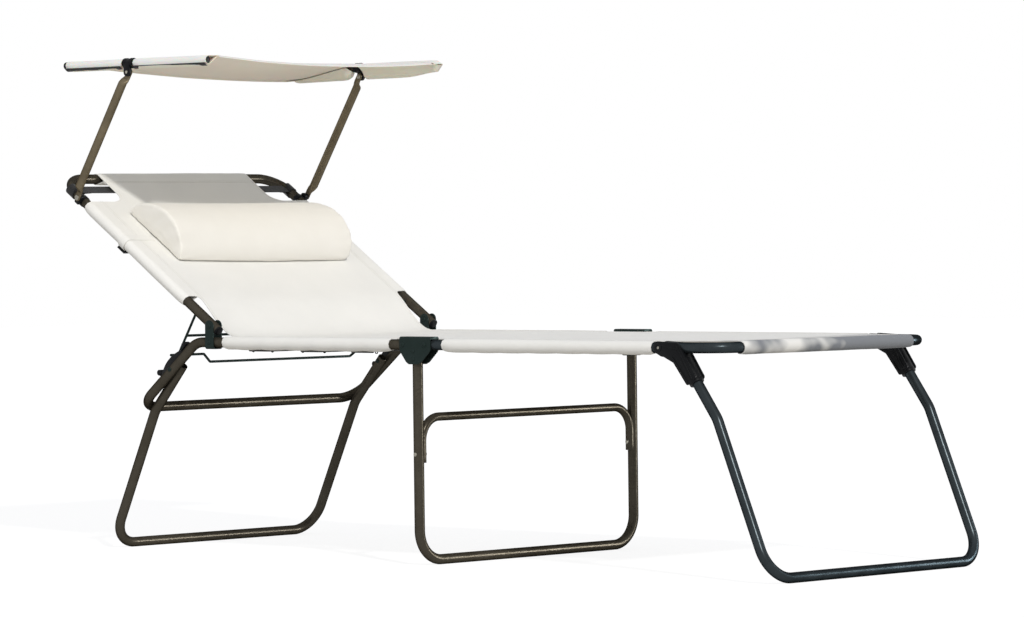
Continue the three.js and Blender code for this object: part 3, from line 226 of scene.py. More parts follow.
class Draft:
    """Points, faces and weave coordinates of a mesh in the making."""

    def __init__(self) -> None:
        """Starts with nothing drawn."""
        self.points: list[Vector] = []
        self.faces: list[tuple[int, ...]] = []
        self.weave: list[tuple[float, float]] = []
        self.marks: list[int] = []

    def grid(self, rows: Rows, mark: int = 0) -> "Draft":
        """Adds a surface through rows of points.

        Args:
            rows: Rows of the same number of points, in the frame's metres.
            mark: Which of the piece's materials it takes.

        Returns:
            This draft.
        """
        first, columns = len(self.points), len(rows[0])
        middle = rows[len(rows) // 2]
        u, v = [0.0], [0.0]
        for a, b in zip(middle, middle[1:]):
            u.append(u[-1] + (b - a).length)
        pick = columns // 2
        for a, b in zip(rows, rows[1:]):
            v.append(v[-1] + (b[pick] - a[pick]).length)
        for row in rows:
            self.points += row
        for i in range(len(rows) - 1):
            for k in range(columns - 1):
                corners = ((i, k), (i, k + 1), (i + 1, k + 1), (i + 1, k))
                self.faces.append(tuple(first + r * columns + c for r, c in corners))
                self.weave += [(u[c], v[r]) for r, c in corners]
                self.marks.append(mark)
        return self

    def cap(self, ring: Sequence[Vector]) -> "Draft":
        """Closes a ring with one flat face."""
        first = len(self.points)
        self.points += ring
        self.faces.append(tuple(range(first, first + len(ring))))
        self.weave += [(p.x + p.y, p.z) for p in ring]
        self.marks.append(0)
        return self

    def tube(self, path: Sequence[Vector], radius: float | Callable[[float], float], sides: int = 24,
             ends: tuple[End, End] = (End.FLAT, End.FLAT)) -> "Draft":
        """Adds a round tube along a path.

        Args:
            path: Points in the frame's metres.
            radius: Radius in millimetres, or a function of the share of the length.
            sides: Faces round the tube.
            ends: How it starts and ends.

        Returns:
            This draft.
        """
        def tangent(i: int) -> Vector:
            """The path's direction at a point."""
            a, b = path[max(0, i - 1)], path[min(len(path) - 1, i + 1)]
            return (b - a).normalized()

        lengths = [0.0]
        for a, b in zip(path, path[1:]):
            lengths.append(lengths[-1] + (b - a).length)
        size = (lambda share: radius) if isinstance(radius, (int, float)) else radius
        aim = tangent(0)
        side = aim.cross(Vector((1, 0, 0)) if abs(aim.x) < 0.9 else UP).normalized()
        stations: list[tuple[Vector, Vector, Vector, float]] = []
        for i, point in enumerate(path):
            new = tangent(i)
            side = (aim.rotation_difference(new) @ side).normalized()
            aim = new
            stations.append((point, side, aim, size(lengths[i] / lengths[-1])))
        extra = [[(s[0] + s[2] * (way * advance * MM), s[1], s[2], r) for r, advance in end_rings(end, s[3])]
                 for s, end, way in ((stations[0], ends[0], -1), (stations[-1], ends[1], 1))]
        rows: Rows = []
        for point, out, ahead, r in extra[0][::-1] + stations + extra[1]:
            other = ahead.cross(out)
            rows.append([point + (out * math.cos(t) + other * math.sin(t)) * (r * MM) for t in turns(sides)])
        self.grid(rows)
        for row, end in ((rows[0], ends[0]), (rows[-1], ends[1])):
            if end is not End.OPEN:
                self.cap(row[:-1])
        return self

    def lathe(self, profile: Sequence[Point], foot: Vector, aim: Vector, sides: int = 20) -> "Draft":
        """Adds a turned shape: profile of (radius, advance) along aim from foot, in millimetres."""
        aim = aim.normalized()
        out = aim.orthogonal().normalized()
        other = aim.cross(out)
        rows = [[foot + (aim * h + (out * math.cos(t) + other * math.sin(t)) * r) * MM for t in turns(sides)]
                for r, h in profile]
        self.grid(rows)
        for (r, _), row in ((profile[0], rows[0]), (profile[-1], rows[-1])):
            if r > 0.01:
                self.cap(row[:-1])
        return self

    def plate(self, axes: Axes, outline: Sequence[Point], x0: float, x1: float) -> "Draft":
        """Adds a flat plate square to X: its outline on the axes, from x0 to x1."""
        rings = [[axes.at(x, s, n) for s, n in outline] for x in (x0, x1)]
        self.grid([ring + ring[:1] for ring in rings])
        return self.cap(rings[0]).cap(rings[1])

    def block(self, axes: Axes, low: Point, high: Point) -> "Draft":
        """Adds a block between two corners (x, s, n) on the axes."""
        outline = [(low[1], low[2]), (high[1], low[2]), (high[1], high[2]), (low[1], high[2])]
        return self.plate(axes, outline, low[0], high[0])

    def mesh(self, name: str, up: Optional[Vector] = None) -> bpy.types.Mesh:
        """Welds the draft into a mesh.

        Args:
            name: Name of the mesh.
            up: For an open sheet, the way its outer face looks; a closed shell needs none.

        Returns:
            The mesh, with the weave coordinates as its UV map.
        """
        mesh = bpy.data.meshes.new(name)
        mesh.from_pydata(self.points, [], self.faces)
        mesh.polygons.foreach_set("material_index", self.marks)
        layer = mesh.uv_layers.new(name="weave")
        layer.data.foreach_set("uv", [value for pair in self.weave for value in pair])
        work = bmesh.new()
        work.from_mesh(mesh)
        bmesh.ops.remove_doubles(work, verts=work.verts, dist=0.02 * MM)
        bmesh.ops.dissolve_degenerate(work, dist=0.001 * MM, edges=work.edges)
        bmesh.ops.recalc_face_normals(work, faces=work.faces)
        if up is not None and sum((f.normal * f.calc_area() for f in work.faces), Vector()).dot(up) < 0:
            bmesh.ops.reverse_faces(work, faces=work.faces)
        work.to_mesh(mesh)
        work.free()
        return mesh

    def piece(self, name: str, up: Optional[Vector] = None, wall: float = 0.0, bevel: float = 0.0,
              smooth: float = 38.0, stir: Optional[Callable[[Vector], float]] = None,
              second_inner_face: bool = False) -> bpy.types.Object:
        """Makes the draft an object.

        Args:
            name: Name of the piece.
            up: For an open sheet, the way its outer face looks.
            wall: Thickness in millimetres that an open sheet is given, inwards.
            bevel: Width in millimetres of the rounding of its edges.
            smooth: Angle in degrees above which an edge stays sharp.
            stir: How far, in millimetres, creases lift the sheet at a point.
            second_inner_face: Whether the wall's inner face takes the next material.

        Returns:
            The object, its modifiers already applied.
        """
        obj = stand(name, self.mesh(name, up))
        if stir:
            for vertex, normal in zip(obj.data.vertices, [n.vector.copy() for n in obj.data.vertex_normals]):
                vertex.co += normal * (stir(vertex.co) * MM)
        if second_inner_face:
            obj.data.materials.append(None)
            obj.data.materials.append(None)
        if wall:
            solid = obj.modifiers.new("wall", "SOLIDIFY")
            solid.thickness, solid.offset, solid.use_even_offset = wall * MM, -1.0, True
            solid.material_offset = solid.material_offset_rim = 1 if second_inner_face else 0
        if bevel:
            edge = obj.modifiers.new("edge", "BEVEL")
            edge.width, edge.segments, edge.limit_method = bevel * MM, 2, "ANGLE"
            edge.angle_limit = math.radians(40)
            edge.use_clamp_overlap = True
        return settle(obj, smooth)


def stand(name: str, data: Optional[bpy.types.ID]) -> bpy.types.Object:
    """A new object in the scene."""
    obj = bpy.data.objects.new(name, data)
    bpy.context.scene.collection.objects.link(obj)
    return obj


def settle(obj: bpy.types.Object, smooth: float = 38.0) -> bpy.types.Object:
    """Turns an object's modifiers into plain mesh and shades it smooth, sharp above an angle."""
    if obj.modifiers:
        bpy.context.view_layer.update()
        graph = bpy.context.evaluated_depsgraph_get()
        made = bpy.data.meshes.new_from_object(obj.evaluated_get(graph), preserve_all_data_layers=True,
                                               depsgraph=graph)
        obj.modifiers.clear()
        obj.data = made
        made.name = obj.name
    obj.data.shade_smooth()
    obj.data.set_sharp_from_angle(angle=math.radians(smooth))
    return obj


# Materials


def linear(code: str) -> tuple[float, float, float, float]:
    """An sRGB hex colour as linear values with full cover."""
    shares = [int(code[i:i + 2], 16) / 255 for i in (1, 3, 5)]
    return (*[c / 12.92 if c <= 0.04045 else ((c + 0.055) / 1.055) ** 2.4 for c in shares], 1.0)


def add_node(tree: Tree, kind: str, values: Optional[dict] = None, links: Optional[dict] = None,
             **settings: object) -> bpy.types.Node:
    """Adds a node.

    Args:
        tree: The node tree.
        kind: The node's type.
        values: Values of its inputs, by name or place.
        links: Output sockets to link to its inputs, by name or place.
        **settings: Properties of the node.

    Returns:
        The node.
    """
    node = tree.nodes.new(kind)
    for name, value in settings.items():
        setattr(node, name, value)
    for key, value in (values or {}).items():
        node.inputs[key].default_value = value
    for key, output in (links or {}).items():
        tree.links.new(output, node.inputs[key])
    return node


def calc(tree: Tree, operation: str, first: Socket, second: Socket | float = 0.0) -> Socket:
    """Result of a maths node on a socket and on another socket or a number."""
    linked = isinstance(second, Socket)
    values, links = ({}, {0: first, 1: second}) if linked else ({1: second}, {0: first})
    node = add_node(tree, "ShaderNodeMath", values, links, operation=operation)
    return node.outputs[0]


def remap(tree: Tree, value: Socket, low: float, high: float, start: float = 0.0, end: float = 1.0) -> Socket:
    """A value between low and high, brought between start and end and held there."""
    node = add_node(tree, "ShaderNodeMapRange", {"From Min": low, "From Max": high, "To Min": start, "To Max": end},
                    {"Value": value})
    return node.outputs["Result"]


def clouds(tree: Tree, scale: float, detail: float, **values: float) -> Socket:
    """Noise fixed to the object, at so many patches per metre."""
    where = add_node(tree, "ShaderNodeTexCoord").outputs["Object"]
    node = add_node(tree, "ShaderNodeTexNoise", {"Scale": scale, "Detail": detail, **values}, {"Vector": where})
    return node.outputs["Fac"]


def bump(tree: Tree, height: Socket, strength: float, depth: float, below: Optional[Socket] = None) -> Socket:
    """A normal that follows a height, of a depth in millimetres, over the one below it."""
    node = add_node(tree, "ShaderNodeBump", {"Strength": strength, "Distance": depth * MM},
                    {"Height": height, **({} if below is None else {"Normal": below})})
    return node.outputs["Normal"]


@dataclass(frozen=True)
class Finish:
    """A plain finish; its kinds add their own surface."""

    name: str
    slot: str
    colour: str
    second: str
    roughness: float

    def material(self) -> bpy.types.Material:
        """The finish's material, made when first asked for."""
        found = bpy.data.materials.get(self.name)
        if found:
            return found
        made = bpy.data.materials.new(self.name)
        made.use_nodes = True
        tree = made.node_tree
        tree.nodes.clear()
        shader = add_node(tree, "ShaderNodeBsdfPrincipled", {"Roughness": self.roughness})
        add_node(tree, "ShaderNodeOutputMaterial", links={"Surface": shader.outputs["BSDF"]})
        self.surface(tree, shader)
        made.diffuse_color = linear(self.colour)
        return made

    def surface(self, tree: Tree, shader: bpy.types.Node) -> None:
        """Gives the shader the finish's colour and grain."""
        raise NotImplementedError

    def mottled(self, tree: Tree, shader: bpy.types.Node, size: float, share: float) -> None:
        """Mixes the two colours in soft patches of a size in metres, up to a share."""
        amount = remap(tree, clouds(tree, 1 / size, 4.0, Roughness=0.6), 0.35, 0.65, 0.0, share)
        mix = add_node(tree, "ShaderNodeMix", {6: linear(self.colour), 7: linear(self.second)}, {0: amount},
                       data_type="RGBA")
        tree.links.new(mix.outputs[2], shader.inputs["Base Color"])


@dataclass(frozen=True)
class Coated(Finish):
    """Powder coat on steel, or moulded plastic: mottled colour and a fine grain."""

    grain: float  # metres between the bumps of its skin
    depth: float  # millimetres
    metallic: float = 0.0
    glint: float = 0.5  # specular level
    tint: str = "#ffffff"  # tint of its reflections
    scuffed: float = 0.05  # how far the roughness wanders

    def surface(self, tree: Tree, shader: bpy.types.Node) -> None:
        """Adds patches of colour and gloss, and the bumps of the skin."""
        self.mottled(tree, shader, 0.05, 0.5)
        shader.inputs["Metallic"].default_value = self.metallic
        shader.inputs["Specular IOR Level"].default_value = self.glint
        shader.inputs["Specular Tint"].default_value = linear(self.tint)
        gloss = remap(tree, clouds(tree, 60.0, 6.0, Roughness=0.7), 0.3, 0.7, self.roughness - self.scuffed,
                      self.roughness + self.scuffed)
        tree.links.new(gloss, shader.inputs["Roughness"])
        skin = bump(tree, clouds(tree, 1 / self.grain, 2.0), 0.4, self.depth)
        tree.links.new(skin, shader.inputs["Normal"])


@dataclass(frozen=True)
class Cloth(Finish):
    """Plain woven cloth: threads along the piece's own weave coordinates, and soft creases."""

    pitch: float  # millimetres between threads, as drawn
    crease: float  # millimetres
    patch: float = 0.3
    ribbed: bool = False  # webbing and elastic: cords across the band instead of a plain weave
    through: float = 0.0  # how much light passes through it
    shade_patches: Optional[tuple[str, float, float, float]] = None  # painted dappled shade: colour, start and end in metres of Y, share at the end

    def surface(self, tree: Tree, shader: bpy.types.Node) -> None:
        """Adds the threads, the creases, faint patches of colour and any painted dappled shade."""
        self.mottled(tree, shader, 0.12, self.patch)
        if self.shade_patches:
            self._painted_shade(tree, shader, *self.shade_patches)
        shader.inputs["Sheen Weight"].default_value = 0.15
        shader.inputs["Specular IOR Level"].default_value = 0.25
        shader.inputs["Subsurface Weight"].default_value = self.through
        shader.inputs["Subsurface Scale"].default_value = 2.0 * MM
        weave = add_node(tree, "ShaderNodeUVMap", uv_map="weave")
        axes = add_node(tree, "ShaderNodeSeparateXYZ", links={"Vector": weave.outputs["UV"]})
        waves = []
        for axis, coarser in (("X", 1.0), ("Y", 0.35 if self.ribbed else 1.0)):
            angle = calc(tree, "MULTIPLY", axes.outputs[axis], math.pi / (self.pitch * MM) * coarser)
            waves.append(calc(tree, "SINE", angle))
        top = calc(tree, "GREATER_THAN", calc(tree, "MULTIPLY", *waves), 0.0)
        threads = [calc(tree, "ABSOLUTE", wave) for wave in waves]
        height = add_node(tree, "ShaderNodeMix", links={0: top, 2: threads[1], 3: threads[0]})
        soft = bump(tree, clouds(tree, 14.0, 3.0, Distortion=0.6), 0.6, self.crease)
        tree.links.new(bump(tree, height.outputs[0], 0.5, 0.25, soft), shader.inputs["Normal"])

    @staticmethod
    def _painted_shade(tree: Tree, shader: bpy.types.Node, colour: str, start: float, end: float, share: float) -> None:
        """Paints shade on the cloth: grey-blue patches of painted dappled shadow that grow from start to end along Y,
        and towards its left.
        """
        unshaded = shader.inputs["Base Color"].links[0].from_socket
        axes = add_node(tree, "ShaderNodeSeparateXYZ",
                        links={"Vector": add_node(tree, "ShaderNodeTexCoord").outputs["Object"]})
        left = remap(tree, axes.outputs["X"], -0.02, 0.05, 0.0, 0.22)
        patchy = remap(tree, calc(tree, "ADD", clouds(tree, 11.0, 2.0), left), 0.4, 0.6)
        amount = calc(tree, "MULTIPLY", remap(tree, axes.outputs["Y"], start, end, 0.0, share), patchy)
        mix = add_node(tree, "ShaderNodeMix", {7: linear(colour)}, {0: amount, 6: unshaded}, data_type="RGBA")
        tree.links.new(mix.outputs[2], shader.inputs["Base Color"])


# Bronze-brown powder coat on mild steel tube: dark, half gloss, with the faint orange peel of baked powder
# (grains of about 1 mm, drawn at 3 mm so that they show).
FRAME_LACQUER = Coated("powder_coated_steel_tube", "frame_lacquer", "#4a463e", "#39352d", 0.28, 0.003, 0.003,
                       metallic=0.4, glint=0.0, tint="#3a352c", scuffed=0.03)
# The foot end's tubes: the same coat painted colder and darker, painted shade and a painted blue sky reflection.
PAINTED_SHADE_LACQUER = Coated("powder_coated_dark_tube", "frame_lacquer", "#363c3f", "#24282a", 0.27, 0.003, 0.003,
                      metallic=0.55, glint=0.0, tint="#2c3134", scuffed=0.03)
# The canopy arms: the same coat painted paler, a painted reflection for the shine along them.
ARM_PAINTED_REFLECTION_LACQUER = Coated("powder_coated_arm", "frame_lacquer", "#756b58", "#4d4639", 0.3, 0.003, 0.003, metallic=0.4,
                     glint=0.0, tint="#4c4638", scuffed=0.03)
# The same powder coat, darker and greener, on pressed sheet brackets and bent wire: edges catch the light.
BRACKET_LACQUER = Coated("powder_coated_pressed_steel", "bracket_lacquer", "#252f2d", "#2d3736", 0.3, 0.003, 0.005,
                         metallic=0.3, glint=0.05, tint="#5c6b6c", scuffed=0.03)
# Zinc plate on rivets and bolts: pale, slightly yellow, with a cloudy gloss.
BRIGHT_STEEL = Coated("zinc_plated_steel", "bright_steel", "#9a978c", "#77746b", 0.36, 0.001, 0.02, metallic=0.8,
                      glint=0.3)
# Glass-filled nylon mouldings: black, satin, with the fine spark grain of the mould.
BLACK_PLASTIC = Coated("moulded_black_nylon", "black_plastic", "#101113", "#17181a", 0.42, 0.0012, 0.02, glint=0.08)
# White polyester canvas: matt, faintly warm, a plain weave of 0.7 mm threads drawn at 1.6 mm.
COVER_FABRIC = Cloth("white_polyester_canvas", "cover_fabric", "#ecebe6", "#e2e1dc", 0.86, 1.6, 1.2)
# The same canvas at the foot end, with painted dappled shade: grey-blue patches of painted shadow towards the end bar.
FOOT_FABRIC = Cloth("weathered_polyester_canvas", "cover_fabric", "#ecebe6", "#e2e1dc", 0.86, 1.6, 1.2,
                    shade_patches=("#565d68", -0.76, -0.9, 0.85))
# The same canvas sewn into the pillow, softer and a little warmer.
PILLOW_FABRIC = Cloth("padded_polyester_canvas", "pillow_fabric", "#edeae2", "#e3dfd6", 0.88, 1.6, 1.6)
# Coated canvas of the sunshade: white above.
CANOPY_TOP = Cloth("coated_canvas_top", "canopy_fabric", "#ecebe6", "#e0dfd9", 0.8, 1.6, 1.0,
                   through=0.3)
# Its underside: the same canvas painted beige, painted warm light standing in for sun through the cloth and light from
# the ground; on the sleeves' inboard halves it stands for painted shade.
CANOPY_UNDER_PAINTED_LIGHT = Cloth("coated_canvas_underside", "canopy_fabric", "#efe9d8", "#e6dfcc", 0.82, 1.6, 1.0,
                     through=0.3)
# Black polypropylene webbing: ribs across the band, 1.5 mm apart.
BLACK_WEBBING = Cloth("black_polypropylene_webbing", "black_webbing", "#1a1a1b", "#29292a", 0.75, 1.5, 0.3,
                      ribbed=True)
# Braided dark elastic cord.
LACING_ELASTIC = Cloth("braided_elastic_cord", "lacing_elastic", "#2c2b2a", "#3a3937", 0.8, 1.2, 0.1, ribbed=True)
# White knitted elastic band, slightly grey where it stretches.
WHITE_ELASTIC = Cloth("white_knitted_elastic", "white_elastic", "#e9e8e3", "#e0deda", 0.85, 1.4, 0.1, ribbed=True)
# Polyester sewing thread of nearly the canvas's own white.
THREAD = Cloth("polyester_sewing_thread", "cover_fabric", "#e2e0da", "#dad8d1", 0.7, 0.8, 0.02, ribbed=True)


# Placing pieces


@dataclass(frozen=True)
class Bend:
    """A soft piece's bend between two bodies, with the points where it starts and ends."""

    first: str
    second: str
    start: Vector
    end: Vector


def place(obj: bpy.types.Object, carrier: str | Bend, finishes: Sequence[Finish], stands_for: Sequence[str] = ()
          ) -> bpy.types.Object:
    """Dresses a piece and lets it move with its body; a piece on a bend stays fixed where it stands.

    Args:
        obj: The finished piece.
        carrier: The body it rides, or the bend between two, of which only its kind is used.
        finishes: Its finishes, in the order of its marks.
        stands_for: CAD nodes that it replaces.

    Returns:
        The piece.
    """
    slots = obj.data.materials
    for i, finish in enumerate(finishes):
        if i < len(slots):
            slots[i] = finish.material()
        else:
            slots.append(finish.material())
    if isinstance(carrier, Bend):
        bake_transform(obj)
    else:
        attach(obj, carrier)
    if stands_for:
        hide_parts(*stands_for)
    log.info("%s: %d faces on %s", obj.name, len(obj.data.polygons), carrier)
    return obj


def both(*names: str) -> list[str]:
    """Names with _right and _left added."""
    return [f"{name}_{side}" for name in names for side in SIDES]


# Geometry Nodes that set small parts along lines and at points


class NodeKit:
    """Geometry Nodes trees: heads on points, and stitches along lines."""

    def __init__(self) -> None:
        """Builds the two trees."""
        self.heads = self._heads()
        self.stitches = self._stitches()

    @staticmethod
    def _tree(name: str, inputs: Sequence[tuple[str, str]]) -> tuple[Tree, bpy.types.Node]:
        """A geometry tree with named inputs, and its input node."""
        tree = bpy.data.node_groups.new(name, "GeometryNodeTree")
        tree.interface.new_socket("Geometry", in_out="INPUT", socket_type="NodeSocketGeometry")
        for label, kind in inputs:
            tree.interface.new_socket(label, in_out="INPUT", socket_type=kind)
        tree.interface.new_socket("Geometry", in_out="OUTPUT", socket_type="NodeSocketGeometry")
        return tree, add_node(tree, "NodeGroupInput")

    @staticmethod
    def _finish(tree: Tree, source: bpy.types.Node, instances: Socket) -> None:
        """Ends a tree: real geometry with the material of its input."""
        real = add_node(tree, "GeometryNodeRealizeInstances", links={0: instances})
        dressed = add_node(tree, "GeometryNodeSetMaterial", links={"Geometry": real.outputs[0],
                                                                   "Material": source.outputs["Material"]})
        add_node(tree, "NodeGroupOutput", links={0: dressed.outputs[0]})

    def _heads(self) -> Tree:
        """Heads on points, each along the point's facing and at its size."""
        tree, source = self._tree("fastener_heads", [("Head", "NodeSocketObject"), ("Material", "NodeSocketMaterial")])
        head = add_node(tree, "GeometryNodeObjectInfo", links={"Object": source.outputs["Head"]})
        facing = add_node(tree, "GeometryNodeInputNamedAttribute", {"Name": "facing"}, data_type="FLOAT_VECTOR")
        size = add_node(tree, "GeometryNodeInputNamedAttribute", {"Name": "size"}, data_type="FLOAT")
        turn = add_node(tree, "FunctionNodeAlignRotationToVector", links={"Vector": facing.outputs[0]}, axis="Z")
        put = add_node(tree, "GeometryNodeInstanceOnPoints", links={
            "Points": source.outputs["Geometry"], "Instance": head.outputs["Geometry"],
            "Rotation": turn.outputs[0], "Scale": size.outputs[0]})
        self._finish(tree, source, put.outputs[0])
        return tree

    def _stitches(self) -> Tree:
        """Stitches along lines, at a pitch."""
        tree, source = self._tree("stitches", [("Stitch", "NodeSocketObject"), ("Pitch", "NodeSocketFloat"),
                                               ("Material", "NodeSocketMaterial")])
        stitch = add_node(tree, "GeometryNodeObjectInfo", links={"Object": source.outputs["Stitch"]})
        line = add_node(tree, "GeometryNodeMeshToCurve", links={0: source.outputs["Geometry"]})
        points = add_node(tree, "GeometryNodeCurveToPoints", links={"Curve": line.outputs[0],
                                                                    "Length": source.outputs["Pitch"]}, mode="LENGTH")
        put = add_node(tree, "GeometryNodeInstanceOnPoints", links={
            "Points": points.outputs["Points"], "Instance": stitch.outputs["Geometry"],
            "Rotation": points.outputs["Rotation"]})
        self._finish(tree, source, put.outputs[0])
        return tree

    @staticmethod
    def run(obj: bpy.types.Object, tree: Tree, values: dict) -> bpy.types.Object:
        """Runs a tree on an object.

        Args:
            obj: The points or lines.
            tree: The tree.
            values: Its inputs by name.

        Returns:
            The object with the tree's result as its plain mesh.
        """
        modifier = obj.modifiers.new("kit", "NODES")
        modifier.node_group = tree
        for item in tree.interface.items_tree:
            if item.in_out == "INPUT" and item.name in values:
                modifier[item.identifier] = values[item.name]
        return settle(obj)

    def fasten(self, name: str, spots: Sequence[tuple[Vector, Vector, float]], profile: Sequence[Point],
               finish: Finish) -> bpy.types.Object:
        """Sets turned heads at spots.

        Args:
            name: Name of the piece.
            spots: Point, facing and size factor of each head.
            profile: The head's (radius, height) in millimetres.
            finish: Its finish.

        Returns:
            One object with all the heads.
        """
        head = Draft().lathe(profile, Vector(), UP, 24).piece(f"{name}_head")
        mesh = bpy.data.meshes.new(name)
        mesh.from_pydata([spot[0] for spot in spots], [], [])
        facing = mesh.attributes.new("facing", "FLOAT_VECTOR", "POINT")
        facing.data.foreach_set("vector", [value for spot in spots for value in spot[1]])
        size = mesh.attributes.new("size", "FLOAT", "POINT")
        size.data.foreach_set("value", [spot[2] for spot in spots])
        obj = stand(name, mesh)
        self.run(obj, self.heads, {"Head": head, "Material": finish.material()})
        bpy.data.objects.remove(head)
        return obj

    def sew(self, name: str, lines: Sequence[Sequence[Vector]], pitch: float = 5.0, size: float = 0.42,
            share: float = 0.68) -> bpy.types.Object:
        """Sews stitches along lines.

        Args:
            name: Name of the piece.
            lines: Lines of points in the frame's metres.
            pitch: Millimetres from stitch to stitch.
            size: Radius of the thread, drawn thick enough to show.
            share: Length of a stitch as a share of the pitch.

        Returns:
            One object with all the stitches.
        """
        half = pitch * share / 2 * MM
        stitch = Draft().tube([Vector((0, 0, h)) for h in (-half, -half * 0.5, half * 0.5, half)],
                              lambda t: size * (0.45 if t in (0.0, 1.0) else 1.0), 5).piece(f"{name}_one")
        mesh = bpy.data.meshes.new(name)
        points: list[Vector] = []
        edges: list[tuple[int, int]] = []
        for line in lines:
            edges += [(len(points) + i, len(points) + i + 1) for i in range(len(line) - 1)]
            points += line
        mesh.from_pydata(points, edges, [])
        obj = stand(name, mesh)
        self.run(obj, self.stitches, {"Stitch": stitch, "Pitch": pitch * MM, "Material": THREAD.material()})
        bpy.data.objects.remove(stitch)
        return obj


# Steel frame


@dataclass
class TubeFrame:
    """Bent tubes of the seat, back, foot end and legs."""

    radius: float = TUBE
    brace_radius: float = 9.0
    brace_x: float = 326.0
    bar_z: float = 10.46
    leg_corner: float = 64.0
    leg_bend: float = 60.0
    nose_from: float = 32.0  # the rails' ends are round about the pins here
    back_from: float = -18.0  # lower ends of the back's tube

    def build(self) -> None:
        """Makes and places every tube."""
        sides = 32
        z, bar, x = RAIL_Z, self.bar_z, RAIL_X
        seat = mirrored([(x, self.nose_from, z), (x, DROP.y, z, 60), (x, 870, 319.3, 50)])
        foot = mirrored([(x, -self.nose_from, z), (x, FOOT_END, z, 66)])
        for name, body, path, pin in (("seat_frame", "seat", seat, 1), ("foot_frame", "foot_section", foot, -1)):
            draft = Draft().tube(path, self.radius, sides, (End.OPEN, End.OPEN))
            for sign in (-1, 1):
                self._nose(draft, sign * x, pin, sides)
            # The foot frame takes the coat with painted shade.
            place(draft.piece(name + "_tube"), body, [PAINTED_SHADE_LACQUER if pin < 0 else FRAME_LACQUER], [name])
        legs = (
            ("head_leg", "head_leg_unit", [(313, 752.7, 413.7), (313, 845.8, 310.4, self.leg_bend),
                                           (313, 991, bar, self.leg_corner)], self.radius, End.HOLLOW),
            ("mid_leg", "middle_leg", [(x, 0, 477), (x, 0, bar, self.leg_corner)], self.radius, End.HOLLOW),
            ("mid_brace", "middle_leg", [(self.brace_x, 0, z) for z in (217.5, 228.0, 241.0, 254.0)]
             + [(self.brace_x, 0, 312.5, 50)], self.brace_radius, End.FLAT),
            ("foot_leg", "foot_leg_unit", [(x, -751, 440), (x, -835, 325, self.leg_bend),
                                           (x, -968, bar, self.leg_corner)], self.radius, End.HOLLOW),
        )
        for name, body, half, radius, end in legs:
            # The foot leg takes the coat with painted shade.
            finish = PAINTED_SHADE_LACQUER if name == "foot_leg" else FRAME_LACQUER
            draft = Draft().tube(mirrored(half), radius, sides, (end, end))
            if name == "mid_brace":
                self._cup(draft)
            place(draft.piece(name + "_tube"), body, [finish], [name])
        low = self.back_from
        back = BACK.along([(-x, low, 0), (-x, TOP_BAR, 0, 62), (x, TOP_BAR, 0, 62), (x, low, 0)], 4)
        place(Draft().tube(back, self.radius, sides, (End.HOLLOW, End.HOLLOW)).piece("back_frame_tube"), "back_rest",
              [FRAME_LACQUER], ["back_frame"])
        self._plugs()

    @staticmethod
    def _cup(draft: Draft) -> None:
        """Presses a tube's ends hollow where they clasp the upright legs."""
        room = (TUBE + 0.4) * MM
        for point in draft.points:
            axis = LEVEL.at(math.copysign(RAIL_X, point.x), 0, 0)
            away = Vector((point.x - axis.x, point.y - axis.y))
            if away.length < room:
                away = away.normalized() * room
                point.x, point.y = axis.x + away.x, axis.y + away.y

    def _nose(self, draft: Draft, x: float, way: int, sides: int) -> None:
        """Ends a rail with a nose that is round about its pin, seen from the side."""
        rows: Rows = []
        for turn in (0, 15, 30, 45, 60, 72, 82, 90):
            limit = self.radius * math.cos(math.radians(turn))
            y = way * (self.nose_from - self.radius * math.sin(math.radians(turn)))
            rows.append([LEVEL.at(x + self.radius * math.cos(a), y,
                                  RAIL_Z + max(-limit, min(limit, self.radius * math.sin(a)))) for a in turns(sides)])
        draft.grid(rows)

    def _plugs(self) -> None:
        """Black plugs in the lower ends of the back tube."""
        for side, sign in SIDES.items():
            foot = BACK.at(sign * RAIL_X, self.back_from, 0)
            aim = BACK.at(sign * RAIL_X, self.back_from - 12, 0) - foot
            draft = Draft().lathe([(9.2, -12), (9.2, 0.2), (11, 0.4), (11, 2.6), (10.5, 3.4), (9.4, 4), (4, 4.2)],
                                  foot, aim, 28)
            place(draft.piece(f"back_plug_moulding_{side}"), "back_rest", [BLACK_PLASTIC], [f"back_plug_{side}"])


# Brackets and fasteners


